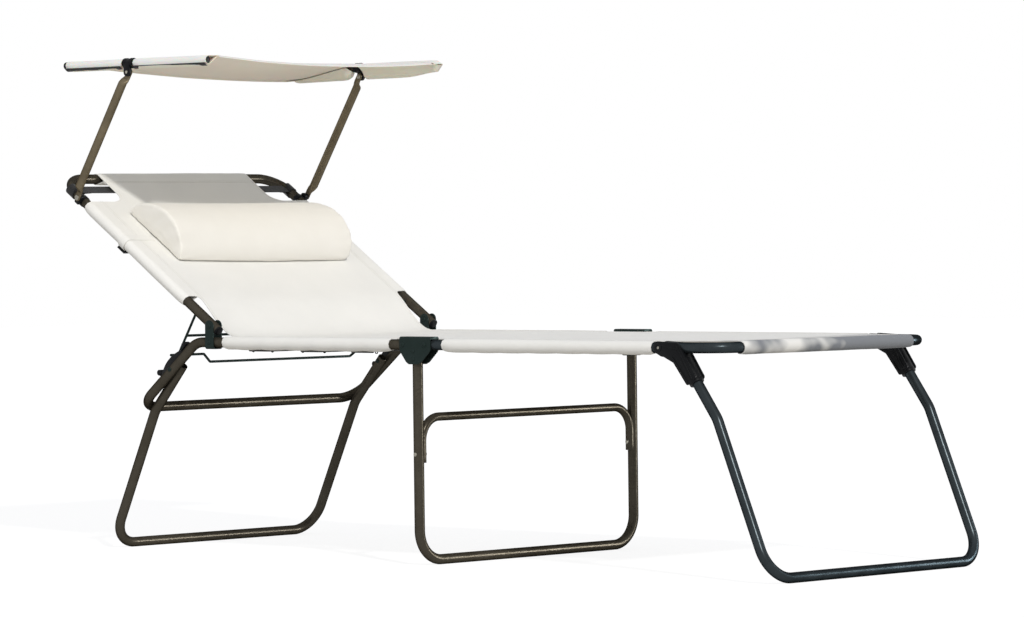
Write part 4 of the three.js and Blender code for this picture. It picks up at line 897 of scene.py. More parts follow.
@dataclass
class PressedBrackets:
    """Pressed steel channels: over the seat rails for the back, and at the middle leg."""

    inner: float = 11.4
    wall: float = 2.0
    bend: float = 5.0
    edge: float = 0.35  # rounding of its cut edges
    corner: float = 5.0  # rounding of the cheeks' lower corners
    hinge_half: float = 13.0
    hinge_foot_z: float = 451.4
    mid_ends: Point = (-50.0, 41.0)  # foot and head end
    mid_waist: float = 18.0
    mid_web: float = 6.0  # its folded flange is thicker than its cheeks
    mid_top_z: float = 483.4
    mid_shoulder_z: float = 454.0
    mid_low_z: float = 425.0

    def _channel(self, sign: int, y_mid: float, places: Sequence[float], web_z: float,
                 rim: Callable[[float], float], web: float = 0.0) -> Draft:
        """A bent channel along Y.

        Args:
            sign: Side of the lounger.
            y_mid: Middle along Y.
            places: Offsets from the middle at which it is drawn.
            web_z: Height of the web's outer face.
            rim: Height of the cheeks' free edge at an offset.
            web: Thickness of the web, for a closed section of its own.

        Returns:
            The draft, of its outer face alone unless the web has a thickness.
        """
        outer = self.inner + self.wall
        rows: Rows = []
        for y in places:
            way = 1 if rim(y) > web_z else -1
            half = [(outer, z) for z in spread(rim(y), web_z + way * self.bend, 6)]
            half += [(outer - self.bend + self.bend * math.cos(a), web_z + way * self.bend * (1 - math.sin(a)))
                     for a in (math.radians(t) for t in (18, 36, 54, 72, 90))]
            half.append((0, web_z))
            section = half + [(-a, z) for a, z in half[-2::-1]]
            if web:
                inside = [(self.inner, rim(y)), (self.inner, web_z - web)]
                section += [(-a, z) for a, z in inside] + inside[::-1] + half[:1]
            rows.append([LEVEL.at(sign * RAIL_X + a, y_mid + y, z) for a, z in section])
        draft = Draft().grid(rows)
        return draft.cap(rows[0][:-1]).cap(rows[-1][-2::-1]) if web else draft

    def build(self) -> None:
        """Makes the four brackets."""
        head, (foot_end, head_end) = self.hinge_half, self.mid_ends

        def hinge_rim(y: float) -> float:
            """Height of the hinge bracket's cheeks: round about the pin."""
            return BACK.z + math.sqrt(max(0.0, head * head - y * y))

        def mid_rim(y: float) -> float:
            """Height of the middle bracket's lower edge: lowest over the leg, rounded at its ends."""
            run, half = abs(y), abs(head_end if y > 0 else foot_end)
            low = self.mid_low_z + (self.mid_shoulder_z - self.mid_low_z) * (run - self.mid_waist) / (
                half - self.mid_waist)
            low = max(self.mid_low_z, low)
            rest = self.corner - (half - run)
            if rest > 0:
                low += self.corner - math.sqrt(self.corner ** 2 - rest ** 2)
            return low + 0.6 * max(0.0, 4 - abs(run - self.mid_waist))

        hinge_places = [head * math.sin(math.radians(a)) for a in spread(-90, 90, 20)]
        curve = [self.corner * (1 - math.sin(math.radians(a))) for a in spread(0, 90, 5)]
        straight = spread(foot_end + self.corner, head_end - self.corner, 30)
        mid_places = sorted({round(v, 3) for v in straight + [foot_end + d for d in curve]
                             + [head_end - d for d in curve]})
        for side, sign in SIDES.items():
            upright = self._channel(sign, BACK.y, hinge_places, self.hinge_foot_z, hinge_rim)
            place(upright.piece(f"back_hinge_channel_{side}", -UP, self.wall, self.edge), "seat",
                  [BRACKET_LACQUER], [f"back_hinge_bracket_{side}"])
            middle = self._channel(sign, 0.0, mid_places, self.mid_top_z, mid_rim, self.mid_web)
            place(middle.piece(f"mid_channel_{side}", bevel=self.edge), "middle_leg",
                  [BRACKET_LACQUER], [f"mid_bracket_{side}"])


RIVET_HEAD = ((6.0, -0.4), (6.0, 0.7), (5.6, 1.4), (4.4, 2.1), (2.6, 2.5), (1.3, 2.6), (1.2, 2.2), (0.4, 2.1))


@dataclass
class Fasteners:
    """Pins and rivets, their heads on both ends of a shank."""

    kit: NodeKit
    shank: float = 3.0
    sizes: ClassVar[dict[str, float]] = {"foot": 0.5, "rivet": 0.72, "pin": 0.85}  # of their heads
    pins: ClassVar[tuple] = (  # body, finish, then name, middle and half grip of each pair
        ("seat", BRACKET_LACQUER, [("back_hinge_pin", RAIL_X, BACK.y, BACK.z, GRIP),
                                   ("back_bracket_rivet", RAIL_X, BACK.y, RAIL_Z, GRIP),
                                   ("head_leg_pin", 324.5, 760.1, 405.5, 22.6)]),
        ("middle_leg", BRACKET_LACQUER, [("seat_pivot_pin", RAIL_X, 32, RAIL_Z, GRIP),
                                         ("foot_pivot_pin", RAIL_X, -32, RAIL_Z, GRIP),
                                         ("mid_leg_rivet_upper", RAIL_X, 0, 453, GRIP),
                                         ("mid_leg_rivet_lower", RAIL_X, 0, 436, GRIP)]),
        ("middle_leg", BRIGHT_STEEL, [("brace_rivet", 332.0, 0, 235, 15.3)]),
        ("foot_section", BRIGHT_STEEL, [("foot_leg_pin", RAIL_X, FOOT_PIN, RAIL_Z, 15.0)]))

    def build(self) -> None:
        """Makes the fasteners of each body."""
        for body, finish, rows in self.pins:
            spots: list[tuple[Vector, Vector, float]] = []
            shanks = Draft()
            for name, x, y, z, grip in rows:
                size = self.sizes["foot" if body == "foot_section" else "rivet" if "rivet" in name else "pin"]
                for sign in SIDES.values():
                    ends = [LEVEL.at(sign * x + way * grip, y, z) for way in (-1, 1)]
                    spots += [(end, Vector((way, 0, 0)), size) for end, way in zip(ends, (-1, 1))]
                    shanks.tube(ends, self.shank * size, 16)
            nodes = both(*[row[0] for row in rows])
            heads = self.kit.fasten(f"{rows[0][0]}_heads", spots, RIVET_HEAD, finish)
            place(heads, body, [finish], nodes)
            place(shanks.piece(f"{rows[0][0]}_shanks"), body, [finish])


@dataclass
class PropGear:
    """The bent wire prop and the racks that its cross rod stands in."""

    rod: float = 2.9
    side_x: float = 320.0
    cross_x: float = 343.0
    crank: tuple[float, float] = (243.0, 219.0)
    top: Point = (691.375, 543.947)
    foot: Point = (760.0, 437.0)
    low: Point = (766.0, 419.0)
    second_share: float = 0.6
    rack_width: float = 15.0
    rack_path: tuple[Point, ...] = (
        (44.4, 16.9), (50.6, 19.1), (58.3, 21.3), (65.2, 22.9), (72.0, 24.0), (78.4, 24.7), (86.2, 25.0), (91.6, 24.8),
        (98.2, 24.1), (103.1, 23.2), (108.9, 21.7), (114.2, 19.7), (119.1, 17.4))
    notches: tuple[Point, ...] = ((50.6, 19.1), (65.2, 22.9), (78.4, 24.7), (91.6, 24.8), (103.1, 23.2))

    def build(self) -> None:
        """Makes the prop and both racks."""
        draft = Draft()
        for sign in SIDES.values():
            x = sign * self.side_x
            draft.tube(LEVEL.along([(x + sign * 10, *self.top), (x, *self.top, 6), (x, *self.foot)], 10), self.rod, 16)
        outer, inner = self.crank
        cross = [(self.cross_x, *self.foot), (outer, *self.foot, 6), (inner, *self.low, 6)]
        draft.tube(mirrored(cross, 10), self.rod, 16)
        second = [a + (b - a) * self.second_share for a, b in zip(self.top, self.foot)]
        draft.tube([LEVEL.at(s * self.side_x, *second) for s in (-1, 1)], self.rod, 16)
        place(draft.piece("prop_wire"), "prop", [BRACKET_LACQUER], ["prop_frame"])
        for side, sign in SIDES.items():
            place(self._rack(sign).piece(f"prop_rack_moulding_{side}", bevel=0.7), "seat", [BLACK_PLASTIC],
                  [f"prop_rack_{side}"])

    def _crest(self, along: float) -> float:
        """Height of the rack's scalloped top over the dropped tube's axis."""
        points = self.rack_path
        height = points[0][1] if along < points[0][0] else points[-1][1]
        for (a, h), (b, g) in zip(points, points[1:]):
            if a <= along <= b:
                height = h + (g - h) * (along - a) / (b - a)
        crest = height - self.rod - 0.8
        for a, h in self.notches:
            off = along - a
            if abs(off) < self.rod + 0.6:
                crest = min(crest, h - math.sqrt((self.rod + 0.6) ** 2 - off * off))
        return crest

    def _rack(self, sign: int) -> Draft:
        """One rack, its top scalloped by the rod's places, with a knob at its lower end."""
        x = sign * RAIL_X
        half = self.rack_width / 2
        tops = [(a, self._crest(a)) for a in spread(38.5, 127.0, 118)]
        outline = [(22.0, 13.0), (25.0, 21.0), (35.0, 23.0), *tops, (128.0, 10.5), (128.0, 5.0)]
        draft = Draft().plate(DROP, outline, x - half, x + half)
        draft.tube([DROP.at(x + e, 133, 17.5) for e in (-half, half)], 6.5, 24)
        neck = [(124.0, 5.0), (133.0, 5.0), (139.2, 15.0), (133.0, 22.0), (122.0, 12.0)]
        draft.plate(DROP, neck, x - half + 1.5, x + half - 1.5)
        flank = [(40.0, 4.0), (40.0, 9.0), (60.0, 12.4), (90.0, 14.2), (118.0, 11.4), (127.0, 8.0), (127.0, 4.0)]
        return draft.plate(DROP, flank, x - half - 1.6, x + half + 1.6)


@dataclass
class LegSockets:
    """Moulded sockets that hold the foot leg and turn on the rails."""

    half: float = 14.9
    slot: float = 11.4
    nose: float = 13.0

    def build(self) -> None:
        """Makes both sockets: two cheeks, a sleeve for the leg between them, ribs and a toe."""
        axes = Axes(FOOT_PIN, RAIL_Z, 0.0)
        cheek = [(-76, -75.4, 4), (-40, -30, 6), (-14.5, -18.5, 5), (-7, -17.5, 6),
                 *arc((0, 0), self.nose, -50, 95, 14), (-52, 10.5, 6), (-100, -59, 5)]
        rim = rounded(cheek)
        sleeve = rounded([(-77, -74, 5), (-42, -27, 6), (-20, -18, 5), (-20, -12), (-48, -11), (-54, 5, 4),
                          (-98, -60, 5)])
        for side, sign in SIDES.items():
            x = sign * RAIL_X
            draft = Draft()
            for way in (-1, 1):
                draft.plate(axes, rim, x + way * self.slot, x + way * self.half)
                ribs = (((-90, -61), (-50, 3)), ((-77, -68), (-38, -19)), ((-56, -3), (-12, 4)))
                for (a, b), (c, d) in ribs:
                    draft.tube([axes.at(x + way * self.half, *p) for p in ((a, b), (c, d))], 1.5, 10,
                               (End.ROUND, End.ROUND))
                draft.lathe([(8.6, -0.5), (8.6, 0.6), (7.8, 1.1), (7.0, 0.7)], axes.at(x + way * self.half, 0, 0),
                            Vector((way, 0, 0)), 24)
            draft.plate(axes, sleeve, x - self.slot - 0.5, x + self.slot + 0.5)
            down = [axes.at(x, *p) for p in ((-59.5, -26.6), (-88, -67))]
            draft.tube(down, 15.2, 28, (End.FLAT, End.FLAT))
            draft.tube([axes.at(x, *p) for p in ((-86.5, -64.5), (-90.5, -70.3))], 15.5, 28)
            place(draft.piece(f"leg_socket_moulding_{side}", bevel=0.6), "foot_leg_unit", [BLACK_PLASTIC],
                  [f"leg_socket_{side}"])


# Fabric


@dataclass(frozen=True)
class Pocket:
    """Section of a sleeve: over a rail from the panel's seam, round the rail and back under the panel."""

    rail_x: float
    reach: float  # from the rail's centreline in to the seam
    radius: float
    slack: float  # how much lower it hangs under the rail
    turn: float = 224.0
    tail: float = 9.0
    pucker: float = 14.0  # length of the gathers at its mouth
    narrowed: float = 0.06  # share by which they draw it in
    gather: float = 0.55  # their height

    def offsets(self) -> list[float]:
        """Places across the rail, from the seam to the rail's top."""
        return spread(-self.reach, 0.0, 12)

    def under(self, slack: float, mouth: float, drop: float = 0.0) -> list[Point]:
        """Points (outwards, up) from the rail's top, round it and back to the seam.

        Args:
            slack: How much lower it hangs here.
            mouth: Distance to its nearest mouth.
            drop: How much lower its seam hangs.
        """
        draw = max(0.0, 1 - mouth / self.pucker)
        points = []
        for a in spread(90 - self.turn / 20, 90 - self.turn, 19):
            t = math.radians(a)
            low = ((1 - math.sin(t)) / 2) ** (3 if slack > 5 else 1)
            size = (self.radius + slack * low * (1 - draw)) * (1 - self.narrowed * draw * draw)
            size += self.gather * draw * math.sin(9 * t + 1.0)
            points.append((size * math.cos(t), size * math.sin(t)))
        d, n = points[-1]
        seam = (-self.reach + 1.0, self.radius - 3.6 - drop)
        points += [(d + (seam[0] - d) * t, n + (seam[1] - n) * t) for t in (0.35, 0.7, 1.0)]
        return points + [(seam[0] - self.tail * t, seam[1] - 1.2 * t * t) for t in (0.5, 1.0)]


@dataclass
class Fabric:
    """What every cover shares: panels, pockets, seams and hems."""

    kit: NodeKit
    wall: float = 1.3
    half_columns: int = 18
    sag: float = 6.0
    seam_x: float = 308.0
    fillet: float = 12.0
    inboard_mark: int = 0  # material of the sleeves' inboard half
    over_cloth: float = 0.35  # how far the stitches stand over the cloth
    seam_rows: ClassVar[tuple[float, float]] = (-0.5, -6.0)  # two rows of stitches, outwards from the seam
    inner_row: ClassVar[float] = 6.0
    lace_pitch: ClassVar[float] = 80.0  # from one laced place of a sleeve to the next

    def way(self, key: float) -> Axes:
        """Where the cover's top runs over the rails."""
        return Axes(key, RAIL_Z + COVER_TOP, 0.0)

    def rail(self, key: float) -> Axes:
        """Centre of the rail below it."""
        return Axes(key, RAIL_Z, 0.0)

    def fade(self, key: float) -> float:
        """Share of the sag at a place along the cover."""
        return 1.0

    def surface(self, x: float, key: float, lift: float = 0.0) -> Vector:
        """A point of the cover's top."""
        sag = self.sag * (1 - (x / RAIL_X) ** 2) * self.fade(key)
        return self.way(key).at(x, 0.0, lift - sag)

    @staticmethod
    def stir(point: Vector) -> float:
        """How far a crease lifts the cloth at a point, in millimetres."""
        broad = noise.noise(Vector((point.x * 7.0, point.y * 5.0, point.z * 5.0)))
        fine = noise.noise(Vector((point.x * 26.0, point.y * 17.0, point.z * 17.0 + 4.0)))
        return 0.7 * broad + 0.22 * fine

    def shares(self) -> list[float]:
        """Shares of the half width at which a panel is drawn."""
        return spread(-1.0, 1.0, 2 * self.half_columns)

    def panel(self, draft: Draft, keys: Sequence[float], half: Callable[[float], float]) -> None:
        """Adds a panel: rows at keys, of a half width."""
        draft.grid([[self.surface(half(key) * u, key) for u in self.shares()] for key in keys])

    def hang(self, sign: int, key: float) -> tuple[float, float]:
        """How much lower a sleeve and its seam hang at a place, beyond the pocket's own slack."""
        return 0.0, 0.0

    def seal(self, point: Vector, sign: int, key: float) -> Vector:
        """A sleeve's point, moved where its mouth is sewn shut."""
        return point

    def sleeve(self, draft: Draft, pocket: Pocket, sign: int, keys: Sequence[float], span: tuple[float, float],
               rounded_ends: tuple[bool, bool] = (True, True), scallop: float = 0.0) -> None:
        """Adds the sleeve of one side.

        Args:
            draft: The cover's draft.
            pocket: Its section.
            sign: Side of the lounger.
            keys: Rows of the panel's border that it joins.
            span: Where its mouths are.
            rounded_ends: Whether the border runs on past each mouth in a rounded corner.
            scallop: How much lower it hangs between the places where it is laced.
        """
        first, last = keys[0], keys[-1]
        rows: Rows = []
        for key in keys:
            straight = span[0] + (key - first) * (span[1] - span[0]) / (last - first)
            mouth = min(abs(straight - span[0]), abs(span[1] - straight))
            more, drop = self.hang(sign, straight)
            slack = pocket.slack + more + scallop * abs(math.sin(math.pi * straight / self.lace_pitch))
            row: list[Vector] = []
            for d in pocket.offsets():
                run = d + pocket.reach
                pull = 1 - math.sqrt(1 - (1 - run / self.fillet) ** 2) if run < self.fillet else 0.0
                if not rounded_ends[abs(key - last) < abs(key - first)]:
                    pull = 1.0 if run == 0 else 0.0
                row.append(self.surface(sign * (pocket.rail_x + d), key * pull + straight * (1 - pull)))
            rail = self.rail(straight)
            row += [rail.at(sign * (pocket.rail_x + d), 0.0, n) for d, n in pocket.under(slack, mouth, drop)]
            rows.append([self.seal(point, sign, straight) for point in row])
        turn = len(pocket.offsets()) + 12
        # The inboard half takes its own material: on the sunshade, the underside's beige as painted shade.
        draft.grid([row[:turn] for row in rows]).grid([row[turn - 1:] for row in rows], self.inboard_mark)

    def end_sleeve(self, draft: Draft, pocket: Pocket, end: float, way: int, half: float) -> None:
        """Adds the sleeve of an end bar.

        Args:
            draft: The cover's draft.
            pocket: Its section.
            end: The bar's place along the cover.
            way: 1 if the bar is at the cover's far end, -1 at its near end.
            half: Half its length.
        """
        rows: Rows = [[self.surface(half * u, end + way * d) for u in self.shares()] for d in pocket.offsets()]
        rail = self.rail(end)
        for d, n in pocket.under(pocket.slack, 99.0):
            row = []
            for u in self.shares():
                draw = max(0.0, 1 - half * (1 - abs(u)) / pocket.pucker)
                row.append(rail.at(half * u, way * d * (1 - 0.05 * draw), n * (1 - 0.05 * draw)))
            rows.append(row)
        draft.grid(rows)

    def line(self, x: float | Callable[[float], float], keys: Sequence[float]) -> list[Vector]:
        """A line just above the cover, for stitches."""
        across = x if callable(x) else (lambda key: x)
        return self._stirred([self.surface(across(key), key, self.over_cloth) for key in keys])

    def cross(self, key: float, half: float) -> list[Vector]:
        """A line of stitches across the cover."""
        return self._stirred([self.surface(half * u, key, self.over_cloth) for u in self.shares()])

    def _stirred(self, points: Sequence[Vector]) -> list[Vector]:
        """Points lifted with the cloth's creases."""
        return [p + UP * (self.stir(p) * MM) for p in points]


SIDE_POCKET = Pocket(RAIL_X, 28.0, COVER_TOP, 1.6)


@dataclass
class SeatBackCover(Fabric):
    """One sheet over the seat and the back: it bends over the hinge and is cut out there."""

    start: float = 45.0
    seat_span: tuple[float, float] = (75.0, 589.0)
    hinge_from: float = 582.0
    back_from: float = 100.0
    back_to: float = 484.0
    top_half: float = 232.0
    notch: tuple[float, float] = (38.0, 33.0)
    fade_from: float = -28.0  # where the sag starts to fade, along the back

    def __post_init__(self) -> None:
        """Draws the curve over the hinge and measures it."""
        end = Vector(BACK.flat(self.back_from, COVER_TOP))
        begin = Vector((self.hinge_from, RAIL_Z + COVER_TOP))
        pull = (end - begin).length
        tilt = math.radians(BACK.tilt)
        tangents = (Vector((pull, 0.0)), Vector((math.cos(tilt), math.sin(tilt))) * pull)
        self.curve: list[tuple[float, Vector]] = []
        length, last = 0.0, begin
        for t in spread(0.0, 1.0, 60):
            a, b = 2 * t ** 3 - 3 * t * t + 1, t ** 3 - 2 * t * t + t
            c, d = 3 * t * t - 2 * t ** 3, t ** 3 - t * t
            point = begin * a + tangents[0] * b + end * c + tangents[1] * d
            length += (point - last).length
            last = point
            self.curve.append((length, point))
        self.shift = self.hinge_from + length - self.back_from

    def way(self, key: float) -> Axes:
        """The seat, the curve over the hinge, then the back."""
        run = key - self.hinge_from
        if run <= 0:
            return Axes(key, RAIL_Z + COVER_TOP, 0.0)
        if run >= self.curve[-1][0]:
            return Axes(*BACK.flat(key - self.shift, COVER_TOP), BACK.tilt)
        i = next(k for k, (length, _) in enumerate(self.curve) if length >= run)
        (a, p), (b, q) = self.curve[i - 1], self.curve[i]
        point = p + (q - p) * ((run - a) / (b - a))
        low, high = self.curve[max(0, i - 3)][1], self.curve[min(60, i + 2)][1]
        return Axes(point.x, point.y, math.degrees(math.atan2(high.y - low.y, high.x - low.x)))

    def rail(self, key: float) -> Axes:
        """The seat rails, then the back rails."""
        if key < self.hinge_from + 40:
            return Axes(key, RAIL_Z, 0.0)
        return Axes(*BACK.flat(key - self.shift, 0.0), BACK.tilt)

    def fade(self, key: float) -> float:
        """The sag fades out towards the top bar."""
        along = max(0.0, key - self.shift - self.fade_from) / (TOP_BAR - self.fade_from)
        return 1.0 - along ** 4

    def half(self, key: float) -> float:
        """Half width of the panel, with the notch at the top corners."""
        along = key - self.shift
        if along < self.back_to:
            return self.seam_x
        wide, deep = self.notch
        rest = max(0.0, self.back_to + deep - along) / deep
        return self.top_half + wide * (1 - math.sqrt(max(0.0, 1 - rest * rest)))

    def build(self) -> bpy.types.Object:
        """Makes the cover and its stitches."""
        top = self.shift
        seat_keys = spread(self.seat_span[0] - self.fillet, self.seat_span[1] + self.fillet, 46)
        hinge_keys = spread(seat_keys[-1], top + self.back_from - self.fillet, 14)
        back_keys = spread(hinge_keys[-1], top + self.back_to - 0.4, 36)
        deep = self.notch[1]
        notch_keys = [top + self.back_to + deep * (1 - math.cos(math.radians(a))) for a in spread(0, 90, 12)]
        top_keys = spread(notch_keys[-1], top + TOP_BAR - SIDE_POCKET.reach, 5)
        draft = Draft()
        self.panel(draft, spread(self.start, seat_keys[0], 3), self.half)
        for keys in (seat_keys, hinge_keys, back_keys, [back_keys[-1], notch_keys[0]], notch_keys, top_keys):
            self.panel(draft, keys, self.half)
        for sign in SIDES.values():
            self.sleeve(draft, SIDE_POCKET, sign, seat_keys, self.seat_span, scallop=1.6)
            self.sleeve(draft, SIDE_POCKET, sign, back_keys, (top + self.back_from, back_keys[-1]), (True, False))
        self.end_sleeve(draft, SIDE_POCKET, top + TOP_BAR, 1, self.top_half)
        lines = []
        for sign in SIDES.values():
            for keys in (seat_keys, back_keys):
                lines += [self.line(sign * (self.seam_x + d), keys) for d in self.seam_rows]
            for keys in (spread(self.start + 2, seat_keys[0], 3), hinge_keys, notch_keys[2:] + top_keys[1:]):
                lines.append(self.line(lambda key: sign * (self.half(key) - self.inner_row), keys))
        lines += [self.cross(top + TOP_BAR - SIDE_POCKET.reach + d, self.top_half - 3) for d in self.seam_rows]
        bend = Bend("seat", "back_rest", self.way(self.hinge_from + 8).at(0, 0, 0), self.way(top + 85).at(0, 0, 0))
        sheet = place(draft.piece("seat_back_canvas", UP, self.wall, stir=self.stir), bend,
                      [COVER_FABRIC], ["seat_cover", "back_cover"])
        seams = place(self.kit.sew("seat_back_stitching", lines), bend, [THREAD])
        return sheet


@dataclass
class FootCover(Fabric):
    """The sheet over the foot frame, with sleeves on its sides and its end bar."""

    start: float = -45.0
    span: tuple[float, float] = (-81.0, -670.0)
    end_half: float = 268.0
    narrow: tuple[float, float] = (-690.0, -800.0)
    fade_from: float = -36.0  # where the sag starts to fade

    def fade(self, key: float) -> float:
        """The sag fades out towards the end bar."""
        return 1.0 - (max(0.0, self.fade_from - key) / (self.fade_from - FOOT_END)) ** 4

    def half(self, key: float) -> float:
        """Half width of the panel, which narrows to the end bar's sleeve."""
        return self.seam_x - (self.seam_x - self.end_half) * ease(-key, -self.narrow[0], -self.narrow[1])

    def build(self) -> None:
        """Makes the cover, and the two bridges over the middle leg."""
        keys = spread(self.span[0] + self.fillet, self.span[1] - self.fillet, 52)
        tail = spread(keys[-1], FOOT_END + SIDE_POCKET.reach, 16)
        draft = Draft()
        self.panel(draft, spread(self.start, keys[0], 3), self.half)
        self.panel(draft, keys, self.half)
        self.panel(draft, tail, self.half)
        lines = []
        for sign in SIDES.values():
            self.sleeve(draft, SIDE_POCKET, sign, keys, self.span, scallop=0.8)
            lines += [self.line(sign * (self.seam_x + d), keys) for d in self.seam_rows]
            for part in (spread(self.start - 2, keys[0], 3), tail[1:]):
                lines.append(self.line(lambda key: sign * (self.half(key) - self.inner_row), part))
        self.end_sleeve(draft, SIDE_POCKET, FOOT_END, -1, self.end_half)
        lines += [self.cross(FOOT_END + SIDE_POCKET.reach - d, self.end_half - 3) for d in self.seam_rows]
        # The foot canvas carries painted dappled shade towards its end bar.
        sheet = place(draft.piece("foot_canvas", UP, self.wall, stir=self.stir), "foot_section",
                      [FOOT_FABRIC], ["foot_cover"])
        seams = place(self.kit.sew("foot_stitching", lines), "foot_section", [THREAD])
        for name, ends, bodies in (("seat_bridge_canvas", (45.0, 0.0), ("seat", "middle_leg")),
                                   ("foot_bridge_canvas", (0.0, -45.0), ("middle_leg", "foot_section"))):
            bridge = Draft()
            self.panel(bridge, spread(*ends, 8), self.half)
            made = bridge.piece(name, UP, self.wall, stir=self.stir)
            place(made, Bend(*bodies, *[LEVEL.at(0, y, RAIL_Z) for y in ends]), [COVER_FABRIC])


@dataclass
class BedLacing:
    """Elastic cord laced to and fro under the seat, from hook to hook."""

    radius: float = 2.4
    x: float = 331.0
    z: float = 449.4
    bend: float = 12.0
    runs: tuple[tuple[float, float], ...] = ((138.0, 208.0), (296.0, 363.0), (458.0, 518.0))
    turns_at: tuple[float, float] = (0.25, 0.75)  # of the way from one run to the next, on the left side
    hook_inset: float = 10.5

    def build(self) -> None:
        """Makes the cord and its hooks."""
        corners: list[Point] = []
        for i, (near, far) in enumerate(self.runs):
            corners += [(-self.x, near, self.z, self.bend), (-self.x, far, self.z, self.bend)]
            if i + 1 < len(self.runs):
                step = self.runs[i + 1][0] - far
                corners += [(self.x, far + step * share, self.z, self.bend) for share in self.turns_at]
        corners[0], corners[-1] = corners[0][:3], corners[-1][:3]
        cord = Draft().tube(LEVEL.along(corners, 10), self.radius, 14, (End.ROUND, End.ROUND))
        place(cord.piece("seat_lacing_cord"), "seat", [LACING_ELASTIC], ["seat_lacing"])
        hooks = Draft()
        spots = [(-1, y) for run in self.runs for y in run]
        spots += [(1, far + (nxt - far) * share) for (_, far), (nxt, _) in zip(self.runs, self.runs[1:])
                  for share in self.turns_at]
        for sign, y in spots:
            x = sign * (self.x - self.hook_inset)
            loop = [(x, y - 3.5, self.z + 6.5), (x, y - 3.5, self.z - 3.5, 3.0), (x, y + 3.5, self.z - 3.5, 3.0),
                    (x, y + 3.5, self.z + 6.5)]
            hooks.tube(LEVEL.along(loop, 20), 1.1, 10)
            hooks.block(LEVEL, (x - 3.0, y - 5.5, self.z + 3.2), (x + 3.0, y + 5.5, self.z + 5.4))
        place(hooks.piece("lacing_hooks", bevel=0.4), "seat", [BLACK_PLASTIC])


def ribbon(axes: Axes, line: Sequence[Point], middle: float, width: float) -> Draft:
    """A flat band.

    Args:
        axes: Its axes.
        line: Points (x, n) that it follows.
        middle: Its middle along the axes.
        width: Its width.

    Returns:
        A draft of the band.
    """
    return Draft().grid([[axes.at(x, middle + width * (t - 0.5), n) for t in spread(0.0, 1.0, 6)] for x, n in line])


@dataclass
class BackStrap:
    """Webbing across the top of the back, looped round the bent tube at both ends."""

    along: float = 545.0
    width: float = 26.0
    level: float = 5.2

    def build(self) -> None:
        """Makes the strap with its loops."""
        loop = arc((-RAIL_X, 0.0), 13.0, -25, -335, 22)
        tail = [(-RAIL_X + 42, self.level - 1.9), (-RAIL_X + 24, self.level - 3.0), (-RAIL_X + 15.5, -2.5)]
        half = tail + loop + [(-RAIL_X + 18, self.level + 0.4), (-RAIL_X + 27, self.level), (-160.0, self.level)]
        line = half + [(0.0, self.level)] + [(-x, n) for x, n in half[::-1]]
        draft = ribbon(BACK, line, self.along, self.width)
        place(draft.piece("back_strap_webbing", UP, 1.5), "back_rest", [BLACK_WEBBING], ["back_strap"])


